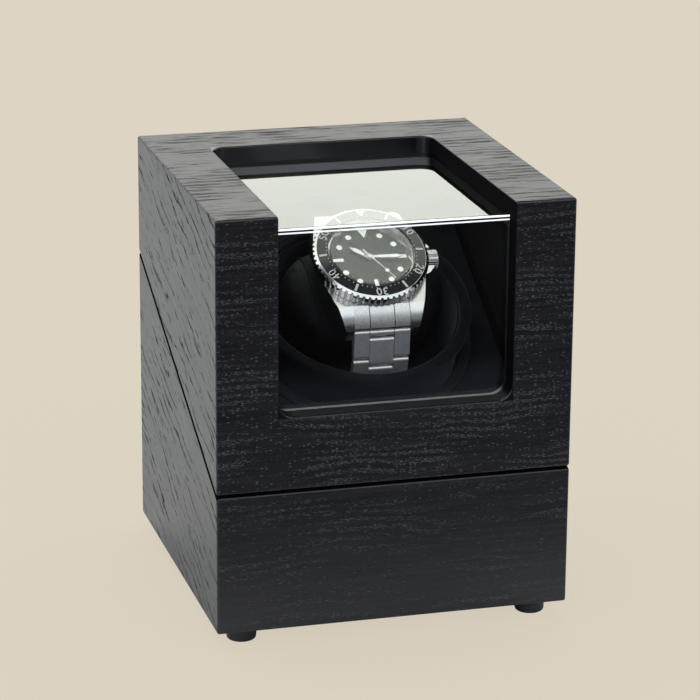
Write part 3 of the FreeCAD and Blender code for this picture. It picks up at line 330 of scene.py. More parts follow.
def oak(name, axes, seed, ring_pitch, pore_size, cover, pore_tone, band, wander, strays):
    """Black-stained open-grain oak under a satin lacquer, smooth in the window and inside the box.

    The axes run along the grain, across it and into the wood; the seed picks a place in the pattern.
    pore_size is a pore's length and width. cover says how closely the rows are filled, band how wide they
    are in parts of a ring, strays how many pores lie between them, and wander how far the rings bend.
    """
    look = Look(name)
    grain = look.along(axes, seed)
    pore = open_pores(look, grain, ring_pitch, pore_size, cover, band, wander, strays)
    fibre = look.noise(grain, (30.0, 0.8, 0.8), 3.0, 0.65)
    broad = look.noise(grain, (90.0, 9.0, 9.0))
    sideways = look.facing(X_AXIS)
    in_window = window_reveal(look)
    smooth = look.most(in_window, inside_faces(look))
    open_grain = look.minus(1.0, smooth)
    shown = look.product(pore, open_grain)
    seam_painted_shade = split_edges(look, sideways)
    jamb = look.product(in_window, look.ramp(sideways, 0.5, 0.9))
    dull = look.most(jamb, seam_painted_shade)

    stain = look.mix(look.ramp(fibre, 0.3, 0.75), STAIN_DARK, STAIN_PALE)
    stain = look.mix(look.product(look.ramp(broad, 0.35, 0.7), 0.45), stain, STAIN_BROAD)
    stain = look.mix(shown, stain, pore_tone)
    stain = look.mix(in_window, stain, REVEAL_COLOUR)
    # Painted shade in the seam between lid and base, on the faces in the gap and in a line on the outside.
    stain = look.mix(seam_painted_shade, stain, SEAM_SHADE_COLOUR)
    gloss = look.between(look.ramp(fibre, 0.25, 0.8), 0.30, 0.44)
    gloss = look.between(pore, gloss, 0.85)
    gloss = look.between(smooth, gloss, 0.20)
    gloss = look.between(dull, gloss, 0.6)
    shine = look.between(dull, look.between(shown, 0.52, 0.08), 0.002)
    relief = look.product(look.minus(look.product(fibre, 0.22), pore), open_grain)
    return look.done(look.principled(
        Base_Color=stain, Roughness=gloss, Specular_IOR_Level=shine, Normal=look.bump(relief, 0.12),
    ))


# ---------------------------------------------------------------- other materials
def lacquer(name, colour, roughness, peel=0.02):
    """Sprayed paint or moulded gloss, with the faint ripple and dust that stop it looking like a mirror."""
    look = Look(name)
    place = look.position()
    ripple = look.noise(place, 6.0)
    dust = look.noise(place, 0.7)
    return look.done(look.principled(
        Base_Color=look.mix(look.ramp(ripple, 0.35, 0.7), colour, toned(colour, 1.35)),
        Roughness=look.between(dust, roughness * 0.8, roughness * 1.3), Normal=look.bump(ripple, peel),
    ))


def bead_paint(name, lit_axis):
    """Satin paint on the glass beads, with painted light: the faces that look along one axis are painted
    paler, as if lit.
    """
    look = Look(name)
    # Painted light: the faces along one axis get a paler colour, standing in for light falling on them.
    pale = look.ramp(look.facing(lit_axis), 0.5, 0.9)
    dust = look.noise(look.position(), 0.8)
    return look.done(look.principled(
        Base_Color=look.mix(pale, (0.020, 0.020, 0.021), (0.34, 0.34, 0.36)),
        Roughness=look.between(dust, 0.4, 0.6), Specular_IOR_Level=0.2, Normal=look.bump(dust, 0.01),
    ))


def velvet(name, colour):
    """Short pile: a fine nap with brushed patches and a soft edge glow."""
    look = Look(name)
    place = look.position()
    nap = look.noise(place, 0.28, 2.0, 0.7)
    brushed = look.noise(place, (14.0, 9.0, 14.0), 3.0)
    shade = look.mix(look.ramp(brushed, 0.38, 0.66), colour, toned(colour, 1.9))
    shade = look.mix(look.ramp(nap, 0.35, 0.75), shade, toned(colour, 1.7))
    return look.done(look.principled(
        Base_Color=shade, Roughness=0.95, Specular_IOR_Level=0.05, Sheen_Weight=0.2, Sheen_Roughness=0.4,
        Sheen_Tint=(0.55, 0.57, 0.62), Normal=look.bump(nap, 0.16),
    ))


def leatherette(name, colour):
    """Fine-grained black leatherette: pebbled cells, creases and a soft satin."""
    look = Look(name)
    place = look.position()
    warped = look.vector("ADD", place, look.add("TexNoise").outputs["Color"])
    pebble = look.ramp(look.pebbles(warped, 0.85), 0.0, 0.22)
    crease = look.noise(place, (7.0, 2.6, 7.0), 3.0)
    relief = look.plus(look.product(pebble, 0.6), look.product(crease, 0.4))
    return look.done(look.principled(
        Base_Color=look.mix(pebble, toned(colour, 0.55), colour), Roughness=look.between(pebble, 0.66, 0.52),
        Specular_IOR_Level=0.16, Normal=look.bump(relief, 0.14),
    ))


def rubber(name, colour):
    look = Look(name)
    place = look.position()
    grit = look.noise(place, 0.5, 3.0, 0.7)
    smear = look.noise(place, 4.0)
    return look.done(look.principled(
        Base_Color=look.mix(look.ramp(smear, 0.35, 0.7), colour, toned(colour, 1.6)),
        Roughness=look.between(smear, 0.34, 0.52), Normal=look.bump(grit, 0.03),
    ))


def plastic(name, colour, roughness):
    """Moulded plastic with a spark-eroded texture."""
    look = Look(name)
    place = look.position()
    texture = look.noise(place, 0.22, 2.0, 0.6)
    flow = look.noise(place, 9.0)
    return look.done(look.principled(
        Base_Color=look.mix(look.ramp(flow, 0.3, 0.7), colour, toned(colour, 1.18)),
        Roughness=look.between(texture, roughness * 0.85, roughness * 1.2), Normal=look.bump(texture, 0.02),
    ))


def metal(name, colour, roughness, stroke=(3.0, 3.0), axes=(X_AXIS, Y_AXIS, Z_AXIS), depth=0.006, bare=1.0,
          joint_shade_lines=False):
    """Metal, brushed along the first axis; stroke is a stroke's length and width.

    Strokes that scatter the light leave less than all of it to the mirror: bare is the share they leave.
    """
    look = Look(name)
    place = look.along(axes)
    length, width = stroke
    strokes = look.noise(place, (length, width, width), 3.0, 0.7)
    cloud = look.noise(place, 5.0, 3.0)
    shade = look.mix(look.ramp(strokes, 0.25, 0.75), toned(colour, 0.9), colour)
    if joint_shade_lines:
        # Painted shade: dark lines where the shadowed gaps between an end link's pieces are not modelled.
        shade = look.mix(end_link_joints(look), shade, (0.05, 0.05, 0.05))
    gloss = look.between(look.ramp(strokes, 0.3, 0.7), roughness * 0.8, roughness * 1.25)
    return look.done(look.principled(
        Base_Color=shade, Metallic=bare, Roughness=look.plus(gloss, look.product(cloud, 0.05)),
        Normal=look.bump(strokes, depth),
    ))


def end_link_joints(look):
    """Where the end links show the two joints between their middle and their sides, to be painted dark as
    painted shade standing in for the gaps.
    """
    x, up, out = look.split(look.along((X_AXIS, WATCH_UP, WATCH_OUT), tuple(WATCH_ORIGIN / MM)))
    off_joint = look.off(look.size(x), END_LINK_JOINT)
    outwards = look.minus(look.size(up), ARCH_Y)
    upwards = look.minus(out, ARCH_Z)
    past_tip = look.minus(
        look.product(outwards, math.cos(END_LINK_TURN)), look.product(upwards, math.sin(END_LINK_TURN))
    )
    on_end_link = look.product(
        look.ramp(past_tip, 0.05, -0.05), look.ramp(out, END_LINK_BOTTOM, END_LINK_BOTTOM + 1.0)
    )
    return look.product(look.ramp(off_joint, 0.22, 0.10), on_end_link)


def glass(look, bare_reflection, tint):
    """Light goes straight through; the face it enters by mirrors for both faces, most when seen edge-on."""
    geometry = look.add("NewGeometry").outputs
    facing = look.size(look.vector("DOT_PRODUCT", geometry["Normal"], geometry["Incoming"]))
    edge_on = look.math("POWER", look.minus(1.0, facing), 5.0)
    once = look.plus(bare_reflection, look.product(edge_on, 1.0 - bare_reflection))
    both = look.math("DIVIDE", look.product(once, 2.0), look.plus(once, 1.0))
    entering = look.minus(1.0, geometry["Backfacing"])
    through = look.wired(look.add("BsdfTransparent"), tint)[0]
    smear = look.ramp(look.noise(look.position(), 30.0, 3.0), 0.5, 0.8)
    mirror = look.add("BsdfGlossy")
    mirror.inputs["Roughness"].default_value = 0.0
    look.feed(mirror.inputs["Color"], look.mix(smear, (0.93, 0.94, 0.91), (0.90, 0.91, 0.89)))
    return look.covered(look.product(both, entering), through, mirror.outputs[0])


def clear_pane(name, bare_reflection, tint):
    look = Look(name)
    return look.done(glass(look, bare_reflection, tint))


def edged_pane(name, bare_reflection, tint):
    """The top pane: a ground arris along its front edge, pale and given a painted glow, and a strip of
    painted shadow behind it.
    """
    look = Look(name)
    _, y, z = look.split(look.position())
    half = PANE_THICKNESS / 2
    off_middle = look.off(z, PANE_TOP - half)
    at_front = look.ramp(y, PANE_FACE + 0.40, PANE_FACE + 0.34)
    # The ground arris gets a painted glow: a pale face that gives off light of its own.
    ground = look.product(at_front, look.ramp(off_middle, half - 0.70, half - 0.55))
    # A strip of painted shadow on the top face, just behind the arris.
    shaded = look.product(
        look.minus(1.0, at_front),
        look.ramp(y, PANE_FACE + 1.9, PANE_FACE + 1.5),
        look.ramp(z, PANE_TOP - 0.1, PANE_TOP - 0.05),
        0.6,
    )
    # The painted shadow is a dark matte surface; the arris's painted glow is a pale emitting one.
    dark = look.principled(Base_Color=(0.02, 0.02, 0.022), Roughness=0.4)
    frosted_painted_glow = look.principled(
        Base_Color=(0.93, 0.95, 0.95), Roughness=0.35,
        Emission_Color=(0.95, 0.98, 1.0), Emission_Strength=0.8,
    )
    pane = look.covered(shaded, glass(look, bare_reflection, tint), dark)
    return look.done(look.covered(ground, pane, frosted_painted_glow))


def ceramic(name):
    """Polished black ceramic."""
    look = Look(name)
    speck = look.noise(look.position(), 0.5)
    return look.done(look.principled(
        Base_Color=look.mix(speck, (0.004, 0.004, 0.005), (0.008, 0.008, 0.009)),
        Roughness=look.between(speck, 0.05, 0.10), Coat_Weight=0.5, Coat_Roughness=0.03,
    ))


def dial_lacquer(name):
    look = Look(name)
    speck = look.noise(look.position(), 0.25)
    return look.done(look.principled(
        Base_Color=look.mix(speck, (0.009, 0.009, 0.010), (0.016, 0.016, 0.017)),
        Roughness=look.between(speck, 0.22, 0.34), Normal=look.bump(speck, 0.004),
    ))


def lume(name):
    """Pale, grainy luminous paint."""
    look = Look(name)
    grain = look.noise(look.position(), 0.15)
    return look.done(look.principled(
        Base_Color=look.mix(grain, (0.78, 0.82, 0.76), (0.90, 0.92, 0.88)), Roughness=0.55,
        Emission_Color=(0.9, 0.95, 0.9), Emission_Strength=0.4, Normal=look.bump(grain, 0.01),
    ))


def print_ink(name, colour):
    look = Look(name)
    grain = look.noise(look.position(), 0.2)
    return look.done(look.principled(
        Base_Color=look.mix(grain, toned(colour, 0.85), colour), Roughness=0.5,
        Normal=look.bump(grain, 0.004),
    ))


def circuit_board(name):
    """Green solder mask with buried tracks on the board, dark parts above it."""
    look = Look(name)
    place = look.position()
    x, _, z = look.split(place)
    track = look.math("FRACT", look.product(look.plus(x, look.product(look.noise(place, 9.0), 6.0)), 0.55))
    copper = look.ramp(look.off(track, 0.5), 0.20, 0.14)
    mask = look.mix(copper, (0.006, 0.060, 0.022), (0.020, 0.125, 0.045))
    above = look.ramp(z, BOARD_TOP + 0.05, BOARD_TOP + 0.15)
    return look.done(look.principled(
        Base_Color=look.mix(above, mask, (0.018, 0.018, 0.019)), Roughness=look.between(above, 0.25, 0.5),
        Normal=look.bump(copper, 0.03),
    ))


def wires(name):
    """Black insulation, slightly glossy."""
    look = Look(name)
    lump = look.noise(look.position(), 2.5)
    return look.done(look.principled(
        Base_Color=look.mix(look.ramp(lump, 0.3, 0.7), (0.012, 0.012, 0.013), (0.022, 0.022, 0.024)),
        Roughness=0.38, Normal=look.bump(lump, 0.03),
    ))


# ---------------------------------------------------------------- which node has which material
GRAIN_SLOPE = SPLIT_SLOPE * 0.8
DOWN_GRAIN = (0, math.cos(GRAIN_SLOPE), math.sin(GRAIN_SLOPE))
CROSS_GRAIN = (0, -math.sin(GRAIN_SLOPE), math.cos(GRAIN_SLOPE))
OAK_BASE = oak(
    "oak_base", (X_AXIS, Z_AXIS, Y_AXIS), (31.0, 5.0, 7.0), ring_pitch=3.9, pore_size=(1.3, 0.26),
    cover=0.072, pore_tone=(0.086, 0.085, 0.085), band=0.28, wander=0.8, strays=0.12,
)
OAK_FRONT = oak(
    "oak_front", (X_AXIS, Z_AXIS, Y_AXIS), (11.0, 3.0, 7.0), ring_pitch=3.2, pore_size=(1.2, 0.26),
    cover=0.080, pore_tone=(0.135, 0.134, 0.137), band=0.30, wander=0.65, strays=0.20,
)
OAK_TOP = oak(
    "oak_top", (X_AXIS, Y_AXIS, Z_AXIS), (5.0, 17.0, 2.0), ring_pitch=4.6, pore_size=(13.0, 0.60),
    cover=0.128, pore_tone=(0.045, 0.045, 0.043), band=0.36, wander=0.3, strays=0.1,
)
OAK_SIDE = oak(
    "oak_side", (DOWN_GRAIN, CROSS_GRAIN, X_AXIS), (23.0, 9.0, 31.0), ring_pitch=5.8, pore_size=(7.5, 0.52),
    cover=0.165, pore_tone=(0.024, 0.024, 0.025), band=0.14, wander=1.0, strays=0.12,
)
# The first of these words that a node's name holds picks its oak.
OAK_OF = {
    "base_front": OAK_BASE,
    "top": OAK_TOP,
    "left": OAK_SIDE,
    "right": OAK_SIDE,
    "front": OAK_FRONT,
    "rear": OAK_FRONT,
}

LONG_STROKE = (9.0, 0.12)
WATCH_BRUSH = (WATCH_UP, X_AXIS, WATCH_OUT)
PANE_TINT = (0.965, 0.975, 0.97)
PANE_REFLECTION = 0.04
POLISHED_STEEL = metal("polished_steel", (0.66, 0.655, 0.64), 0.09)
LEATHER = leatherette("leather", (0.0048, 0.0048, 0.0056))
LUME = lume("lume")
WHITE_INK = print_ink("white_ink", (0.80, 0.80, 0.78))
SILVER_FILL = print_ink("silver_fill", (0.72, 0.72, 0.70))

SLOT_LOOK = {
    "painted_board": lacquer("painted_board", (0.010, 0.010, 0.011), 0.55),
    "velvet": velvet("velvet", (0.0085, 0.0085, 0.0098)),
    "leather": LEATHER,
    "rubber": rubber("rubber", (0.010, 0.010, 0.011)),
    "zinc_steel": metal("zinc_steel", (0.48, 0.49, 0.50), 0.30, (0.6, 0.6)),
    "black_steel": metal("black_steel", (0.030, 0.030, 0.032), 0.34, (1.2, 0.6)),
    "gloss_black": lacquer("gloss_black", (0.006, 0.006, 0.007), 0.22, 0.008),
    "clear_glass": clear_pane("clear_glass", PANE_REFLECTION, PANE_TINT),
    "acetal": plastic("acetal", (0.62, 0.61, 0.57), 0.35),
    "bronze": metal("bronze", (0.58, 0.36, 0.17), 0.38, (0.4, 0.4)),
    "plate_plastic": plastic("plate_plastic", (0.020, 0.020, 0.021), 0.5),
    "motor_steel": metal("motor_steel", (0.42, 0.42, 0.41), 0.28, (6.0, 0.2)),
    "switch_plastic": plastic("switch_plastic", (0.013, 0.013, 0.014), 0.36),
    "circuit_board": circuit_board("circuit_board"),
    "wire_cover": wires("wire_cover"),
    "brushed_steel": metal("brushed_steel", (0.66, 0.65, 0.63), 0.17, LONG_STROKE, WATCH_BRUSH, 0.010),
    "black_ceramic": ceramic("black_ceramic"),
    "dial_black": dial_lacquer("dial_black"),
    "movement_brass": metal("movement_brass", (0.66, 0.52, 0.27), 0.30, (2.0, 0.3)),
    "hand_steel": POLISHED_STEEL,
}
OWN_LOOK = {
    "top_glass": edged_pane("pane_with_painted_edge_glow_and_shadow", PANE_REFLECTION, PANE_TINT),
    "crystal": clear_pane("sapphire", 0.055, (0.985, 0.985, 0.985)),
    "watch_bezel": POLISHED_STEEL,
    "crown": POLISHED_STEEL,
    "bracelet_links": metal(
        "bracelet_steel", (0.74, 0.73, 0.71), 0.24, LONG_STROKE, WATCH_BRUSH, 0.010, bare=0.72,
        joint_shade_lines=True,
    ),
    "drum_cup": velvet("flocked_cup", (0.0050, 0.0050, 0.0060)),
    "deck_ring": lacquer("satin_ring", (0.006, 0.006, 0.007), 0.55, 0.008),
    # The beads get painted light on the faces along the given axis.
    "top_glass_bead": bead_paint("top_bead_paint", Y_AXIS),
    "front_glass_bead": bead_paint("front_bead_paint", Z_AXIS),
}


def oak_for(node):
    for word, material in OAK_OF.items():
        if word in node:
            return material


for node, cad in nodes.items():
    cad.material_slots[0].material = OWN_LOOK.get(node) or SLOT_LOOK.get(slot_of[node]) or oak_for(node)


# ---------------------------------------------------------------- mesh helpers
def piece(name, mesh, material, body, place=Matrix.Identity(4), smooth=False):
    """A finished mesh in millimetres, put in place in metres and set on its body."""
    data = bpy.data.meshes.new(name)
    bmesh.ops.recalc_face_normals(mesh, faces=mesh.faces)
    mesh.to_mesh(data)
    mesh.free()
    data.transform(place @ Matrix.Diagonal((MM, MM, MM, 1)))
    data.materials.append(material)
    if smooth:
        data.shade_smooth()
        data.set_sharp_from_angle(angle=math.radians(35))
    thing = bpy.data.objects.new(name, data)
    bpy.context.scene.collection.objects.link(thing)
    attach(thing, body)


def circle(radius, count, y=0.0):
    """Points round a centre on the Y axis."""
    steps = [2 * math.pi * k / count for k in range(count)]
    return [(radius * math.cos(a), y + radius * math.sin(a)) for a in steps]


def bar(width, length, y):
    """A rectangle round a centre on the Y axis."""
    return [(-width / 2, y - length / 2), (width / 2, y - length / 2),
            (width / 2, y + length / 2), (-width / 2, y + length / 2)]


def join_loops(mesh, lower, upper):
    """Faces between two closed loops of as many points."""
    count = len(lower)
    for k in range(count):
        after = (k + 1) % count
        mesh.faces.new((lower[k], lower[after], upper[after], upper[k]))


def prism(mesh, outline, low, high, taper=0.0):
    """A straight-sided block over an outline; taper draws the top in, as a bevel."""
    middle = Vector((sum(p[0] for p in outline), sum(p[1] for p in outline))) / len(outline)

    def inset(point):
        arm = Vector(point) - middle
        return middle + arm * max(0.0, 1 - taper / arm.length)

    bottom = [mesh.verts.new((x, y, low)) for x, y in outline]
    top = [mesh.verts.new((*inset(p), high)) for p in outline]
    mesh.faces.new(bottom[::-1])
    mesh.faces.new(top)
    join_loops(mesh, bottom, top)
    return bottom + top


def dome(mesh, radius, foot, rim, rise, y, sides=24, rings=6):
    """A closed round button on the Y axis: straight sides from foot to rim, then a dome over it."""
    turns = [math.pi / 2 * k / rings for k in range(rings)]
    levels = [(radius, foot)] + [(radius * math.cos(a), rim + rise * math.sin(a)) for a in turns]
    loops = [[mesh.verts.new((*point, z)) for point in circle(r, sides, y)] for r, z in levels]
    mesh.faces.new(loops[0][::-1])
    for lower, upper in zip(loops, loops[1:]):
        join_loops(mesh, lower, upper)
    tip = mesh.verts.new((0, y, rim + rise))
    last = loops[-1]
    for k in range(sides):
        mesh.faces.new((last[k], last[(k + 1) % sides], tip))


def tube(mesh, path, radius, sides):
    """A round cord along a closed path of points in a plane across X."""
    rings = []
    for before, point, after in zip([path[-1]] + path, path, path[1:] + [path[0]]):
        ahead = (after - before).normalized()
        first = ahead.cross(Vector(X_AXIS)).normalized()
        second = ahead.cross(first)
        rings.append([mesh.verts.new(point + first * a + second * b) for a, b in circle(radius, sides)])
    for here, after in zip(rings, rings[1:] + [rings[0]]):
        join_loops(mesh, here, after)


def clockwise(verts, degrees):
    """Turn new vertices clockwise about the origin, seen from +Z."""
    turn = Matrix.Rotation(math.radians(-degrees), 3, "Z")
    for vert in verts:
        vert.co = turn @ vert.co


# ---------------------------------------------------------------- dial
MARKER_RADIUS = 12.36
MARKER_FRAME = 0.22
TRIANGLE_HALF = 1.9
TRIANGLE_IN = 2.0
TRIANGLE_OUT = 1.7
BATON = (1.25, 3.9)
DOT_RADIUS = 1.1
TRACK_RADIUS = 15.0
TRACK_HALF_THICKNESS = 0.02
FIVE_TICK = (0.26, 0.85)
MINUTE_TICK = (0.14, 0.6)
HAND_LUME_HEIGHT = 0.07
HAND_LUME_TAPER = 0.04


def hour_shape(hour, grow):
    """The outline of the marker at an hour, drawn at twelve o'clock and grown all round."""
    if hour == 0:
        half = TRIANGLE_HALF + grow
        outer = MARKER_RADIUS + TRIANGLE_OUT + grow * 0.7
        return [(-half, outer), (0, MARKER_RADIUS - TRIANGLE_IN - 2 * grow), (half, outer)]
    if hour in (3, 6, 9):
        width, length = BATON
        return bar(width + 2 * grow, length + 2 * grow, MARKER_RADIUS)
    return circle(DOT_RADIUS + grow, 28, MARKER_RADIUS)


def hour_markers():
    frames = bmesh.new()
    fills = bmesh.new()
    for hour in range(12):
        clockwise(prism(frames, hour_shape(hour, MARKER_FRAME), DIAL_TOP - 0.05, 0.22, 0.06), 30 * hour)
        clockwise(prism(fills, hour_shape(hour, 0.0), 0.10, 0.30, 0.10), 30 * hour)
    piece("marker_frames", frames, POLISHED_STEEL, "drum", WATCH)
    piece("marker_lume", fills, LUME, "drum", WATCH)


def minute_track():
    track = bmesh.new()
    low = DIAL_TOP - TRACK_HALF_THICKNESS
    high = DIAL_TOP + TRACK_HALF_THICKNESS
    for minute in range(60):
        width, length = MINUTE_TICK if minute % 5 else FIVE_TICK
        clockwise(prism(track, bar(width, length, TRACK_RADIUS), low, high), 6 * minute)
    piece("minute_track", track, WHITE_INK, "drum", WATCH)


def blade(root_half, root, wide_half, wide, tip):
    """A hand's filling, from its root to where it is widest and on to its tip."""
    return [(-root_half, root), (root_half, root), (wide_half, wide), (0, tip), (-wide_half, wide)]


def hand_lume():
    """Luminous fillings, each in the top face of its hand."""
    for name, body, angle, shape, low in (
        ("hour_lume", "hour_hand", HOUR_ANGLE, blade(0.45, 2.6, 0.55, 6.2, 7.6), 0.93),
        ("minute_lume", "minute_hand", MINUTE_ANGLE, blade(0.38, 3.2, 0.5, 10.2, 11.8), 1.38),
        ("second_lume", "second_hand", SECOND_ANGLE, circle(0.62, 24, 9.0), 1.78),
    ):
        mesh = bmesh.new()
        clockwise(prism(mesh, shape, low, low + HAND_LUME_HEIGHT, HAND_LUME_TAPER), angle)
        piece(name, mesh, LUME, body, WATCH)


# ---------------------------------------------------------------- bezel insert
NUMERAL_SIZE = 4.4
NUMERAL_WIDEN = 1.05
NUMERAL_EXTRUDE = 0.5
MARK_SUNK = 0.06
MARK_PROUD = 0.03
TRIANGLE_MARK_HALF = 1.75
BAR_MARK = (0.95, 3.0)
MINUTE_DOT = 0.2
PEARL_RADIUS = 0.62


def on_cone(verts):
    """Lay flat marks on the sloping insert: z 0 to 1 becomes a thin layer that starts inside it."""
    for vert in verts:
        radius = math.hypot(vert.co.x, vert.co.y)
        share = (radius - INSERT_INNER) / (INSERT_OUTER - INSERT_INNER)
        surface = INSERT_HIGH + (INSERT_LOW - INSERT_HIGH) * share
        vert.co.z = surface - MARK_SUNK + vert.co.z * (MARK_SUNK + MARK_PROUD)


def numeral(mesh, text):
    """A number at twelve o'clock, its top outwards."""
    curve = bpy.data.curves.new("numeral", "FONT")
    curve.body = text
    curve.size = NUMERAL_SIZE
    # A wider outline would fill the hole in a four, so a four keeps its own outline.
    curve.offset = 0.0 if "4" in text else 0.03
    curve.align_x = "CENTER"
    curve.align_y = "CENTER"
    curve.extrude = NUMERAL_EXTRUDE
    curve.resolution_u = 3
    curve.space_character = 1.08
    holder = bpy.data.objects.new("numeral", curve)
    bpy.context.scene.collection.objects.link(holder)
    shape = bpy.data.meshes.new_from_object(holder.evaluated_get(bpy.context.evaluated_depsgraph_get()))
    bpy.data.objects.remove(holder)
    first = len(mesh.verts)
    mesh.from_mesh(shape)
    bpy.data.meshes.remove(shape)
    mesh.verts.ensure_lookup_table()
    verts = mesh.verts[first:]
    for vert in verts:
        x, y, z = vert.co
        vert.co = (x * NUMERAL_WIDEN, y + INSERT_MIDDLE + 0.15, z + NUMERAL_EXTRUDE)
    return verts


def insert_mark(mesh, minute):
    """A triangle at zero, numbers at the tens, bars at the fives and dots between."""
    if minute == 0:
        outer = INSERT_MIDDLE + TRIANGLE_MARK_HALF
        shape = [(-TRIANGLE_MARK_HALF, outer), (0, INSERT_MIDDLE - 1.5), (TRIANGLE_MARK_HALF, outer)]
    elif minute % 10 == 0:
        return numeral(mesh, str(minute))
    elif minute % 5 == 0:
        shape = bar(*BAR_MARK, INSERT_MIDDLE + 0.1)
    else:
        shape = circle(MINUTE_DOT, 12, INSERT_INNER + 0.7)
    return prism(mesh, shape, 0, 1)


def insert_marks():
    marks = bmesh.new()
    for minute in range(60):
        verts = insert_mark(marks, minute)
        clockwise(verts, 6 * minute)
        on_cone(verts)
    piece("insert_marks", marks, SILVER_FILL, "bezel", WATCH)
    pearl = bmesh.new()
    dome(pearl, PEARL_RADIUS, 3.85, 4.02, 0.35, INSERT_MIDDLE + 0.55)
    piece("insert_pearl", pearl, LUME, "bezel", WATCH, smooth=True)


# ---------------------------------------------------------------- rear controls
def control_marks():
    """Printed ticks at the knob's four stops, and the line on the knob."""
    face = Vector((KNOB_X, HALF, PANEL_Z)) + Vector(SHIFT)
    back = Matrix.Translation(face * MM) @ Matrix.Rotation(math.radians(-90), 4, "X")
    ticks = bmesh.new()
    for stop in range(4):
        clockwise(prism(ticks, bar(0.5, 1.6, 9.1), -0.02, 0.03), -90 * stop)
    piece("stop_ticks", ticks, WHITE_INK, "base", back)
    line = bmesh.new()
    prism(line, bar(0.6, 4.2, -3.9), 6.55, 6.75)
    piece("knob_line", line, WHITE_INK, "knob", back)


# ---------------------------------------------------------------- cushion
CUSHION_SHRINK = 0.93
CUSHION_VOXEL = 3.2 * MM
CUSHION_CAP = 6.0 * MM
CUSHION_INSET = 0.15 * MM
CUSHION_PRESSURE = 4.0
CLOTH_FRAMES = 20
MERGE_DISTANCE = 1e-6
SEAM_HEART = Vector((0, -1.0, -26.3)) * MM
SEAM_OFFSET = 21.5 * MM
SEAM_POINTS = 96
CORD_LIFT = 0.1 * MM
CORD_RADIUS = 0.55


def merged(data):
    """A mesh whose doubled points are joined."""
    mesh = bmesh.new()
    mesh.from_mesh(data)
    bmesh.ops.remove_doubles(mesh, verts=mesh.verts, dist=MERGE_DISTANCE)
    return mesh


def skin_of(data):
    mesh = merged(data)
    tree = BVHTree.FromBMesh(mesh)
    mesh.free()
    return tree


def apply_modifiers(thing):
    graph = bpy.context.evaluated_depsgraph_get()
    thing.data = bpy.data.meshes.new_from_object(thing.evaluated_get(graph))
    thing.modifiers.clear()


def inflate(thing):
    """Blow the shell up with cloth, with no gravity, and limit how far each point may go."""
    start = [vert.co.copy() for vert in thing.data.vertices]
    cloth = thing.modifiers.new("Cloth", "CLOTH")
    settings = cloth.settings
    settings.use_pressure = True
    settings.uniform_pressure_force = CUSHION_PRESSURE
    settings.effector_weights.gravity = 0
    settings.quality = 5
    settings.mass = 0.3
    settings.tension_stiffness = 12
    settings.compression_stiffness = 12
    settings.bending_stiffness = 0.4
    cloth.collision_settings.use_collision = False
    cloth.point_cache.frame_start = 1
    cloth.point_cache.frame_end = CLOTH_FRAMES
    for number in range(1, CLOTH_FRAMES + 1):
        bpy.context.scene.frame_set(number)
    graph = bpy.context.evaluated_depsgraph_get()
    blown = [vert.co.copy() for vert in thing.evaluated_get(graph).data.vertices]
    thing.modifiers.remove(cloth)
    bpy.context.scene.frame_set(1)
    for vert, old, new in zip(thing.data.vertices, start, blown):
        step = new - old
        vert.co = old + step * min(1.0, CUSHION_CAP / max(step.length, 1e-9))


def keep_inside(thing, skin):
    """Pull points that left the CAD solid back to just under its surface."""
    for vert in thing.data.vertices:
        near, normal, _, _ = skin.find_nearest(vert.co)
        if (vert.co - near).dot(normal) > -CUSHION_INSET:
            vert.co = near - normal * CUSHION_INSET


def padded_cushion():
    """The watch pillow, blown up by cloth from a smaller copy of its CAD solid."""
    solid = nodes["watch_cushion"].data
    skin = skin_of(solid)
    low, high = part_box("watch_cushion")
    middle = (low + high) / 2
    mesh = merged(solid)
    for vert in mesh.verts:
        vert.co = middle + (vert.co - middle) * CUSHION_SHRINK
    data = bpy.data.meshes.new("cushion")
    mesh.to_mesh(data)
    mesh.free()
    thing = bpy.data.objects.new("padded_cushion", data)
    bpy.context.scene.collection.objects.link(thing)
    bpy.context.view_layer.objects.active = thing
    remesh = thing.modifiers.new("Remesh", "REMESH")
    remesh.mode = "VOXEL"
    remesh.voxel_size = CUSHION_VOXEL
    apply_modifiers(thing)
    inflate(thing)
    keep_inside(thing, skin)
    divide = thing.modifiers.new("Subdivision", "SUBSURF")
    divide.levels = 2
    divide.render_levels = 2
    apply_modifiers(thing)
    keep_inside(thing, skin)
    thing.data.materials.clear()
    thing.data.materials.append(LEATHER)
    thing.data.shade_smooth()
    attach(thing, "drum")
    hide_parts("watch_cushion")
    return thing


def cushion_seams(cushion):
    """A corded seam near each end of the cushion, laid on its final surface."""
    skin = skin_of(cushion.data)
    cords = bmesh.new()
    for side in (-1, 1):
        centre = WATCH @ SEAM_HEART + Vector((side * SEAM_OFFSET, 0, 0))
        path = []
        for y, z in circle(1.0, SEAM_POINTS):
            ray = Vector((0, y, z))
            hit = skin.ray_cast(centre, ray)[0]
            path.append((hit + ray * CORD_LIFT) / MM)
        tube(cords, path, CORD_RADIUS, 10)
    piece("cushion_cords", cords, LEATHER, "drum", smooth=True)


hour_markers()
minute_track()
hand_lume()
insert_marks()
control_marks()
cushion_seams(padded_cushion())


# ---------------------------------------------------------------- studio
CAMERA_PLACE = Vector((-0.3082, -1.11585, 0.4499))
CAMERA_AIM = Vector((0.2559, 0.9202, -0.2963))
CAMERA_ROLL = math.radians(0.395)
CAMERA_LENS = 158.0
BACKGROUND = (0.716, 0.651, 0.539)
ROOM_LIGHT = 0.34
PANEL_LIGHT = 1.85
LEFT_LIGHT = 0.5
AHEAD_LIGHT = 1.4
EVEN_SHARE = 0.89
FLOOR_SIDE = 24.0


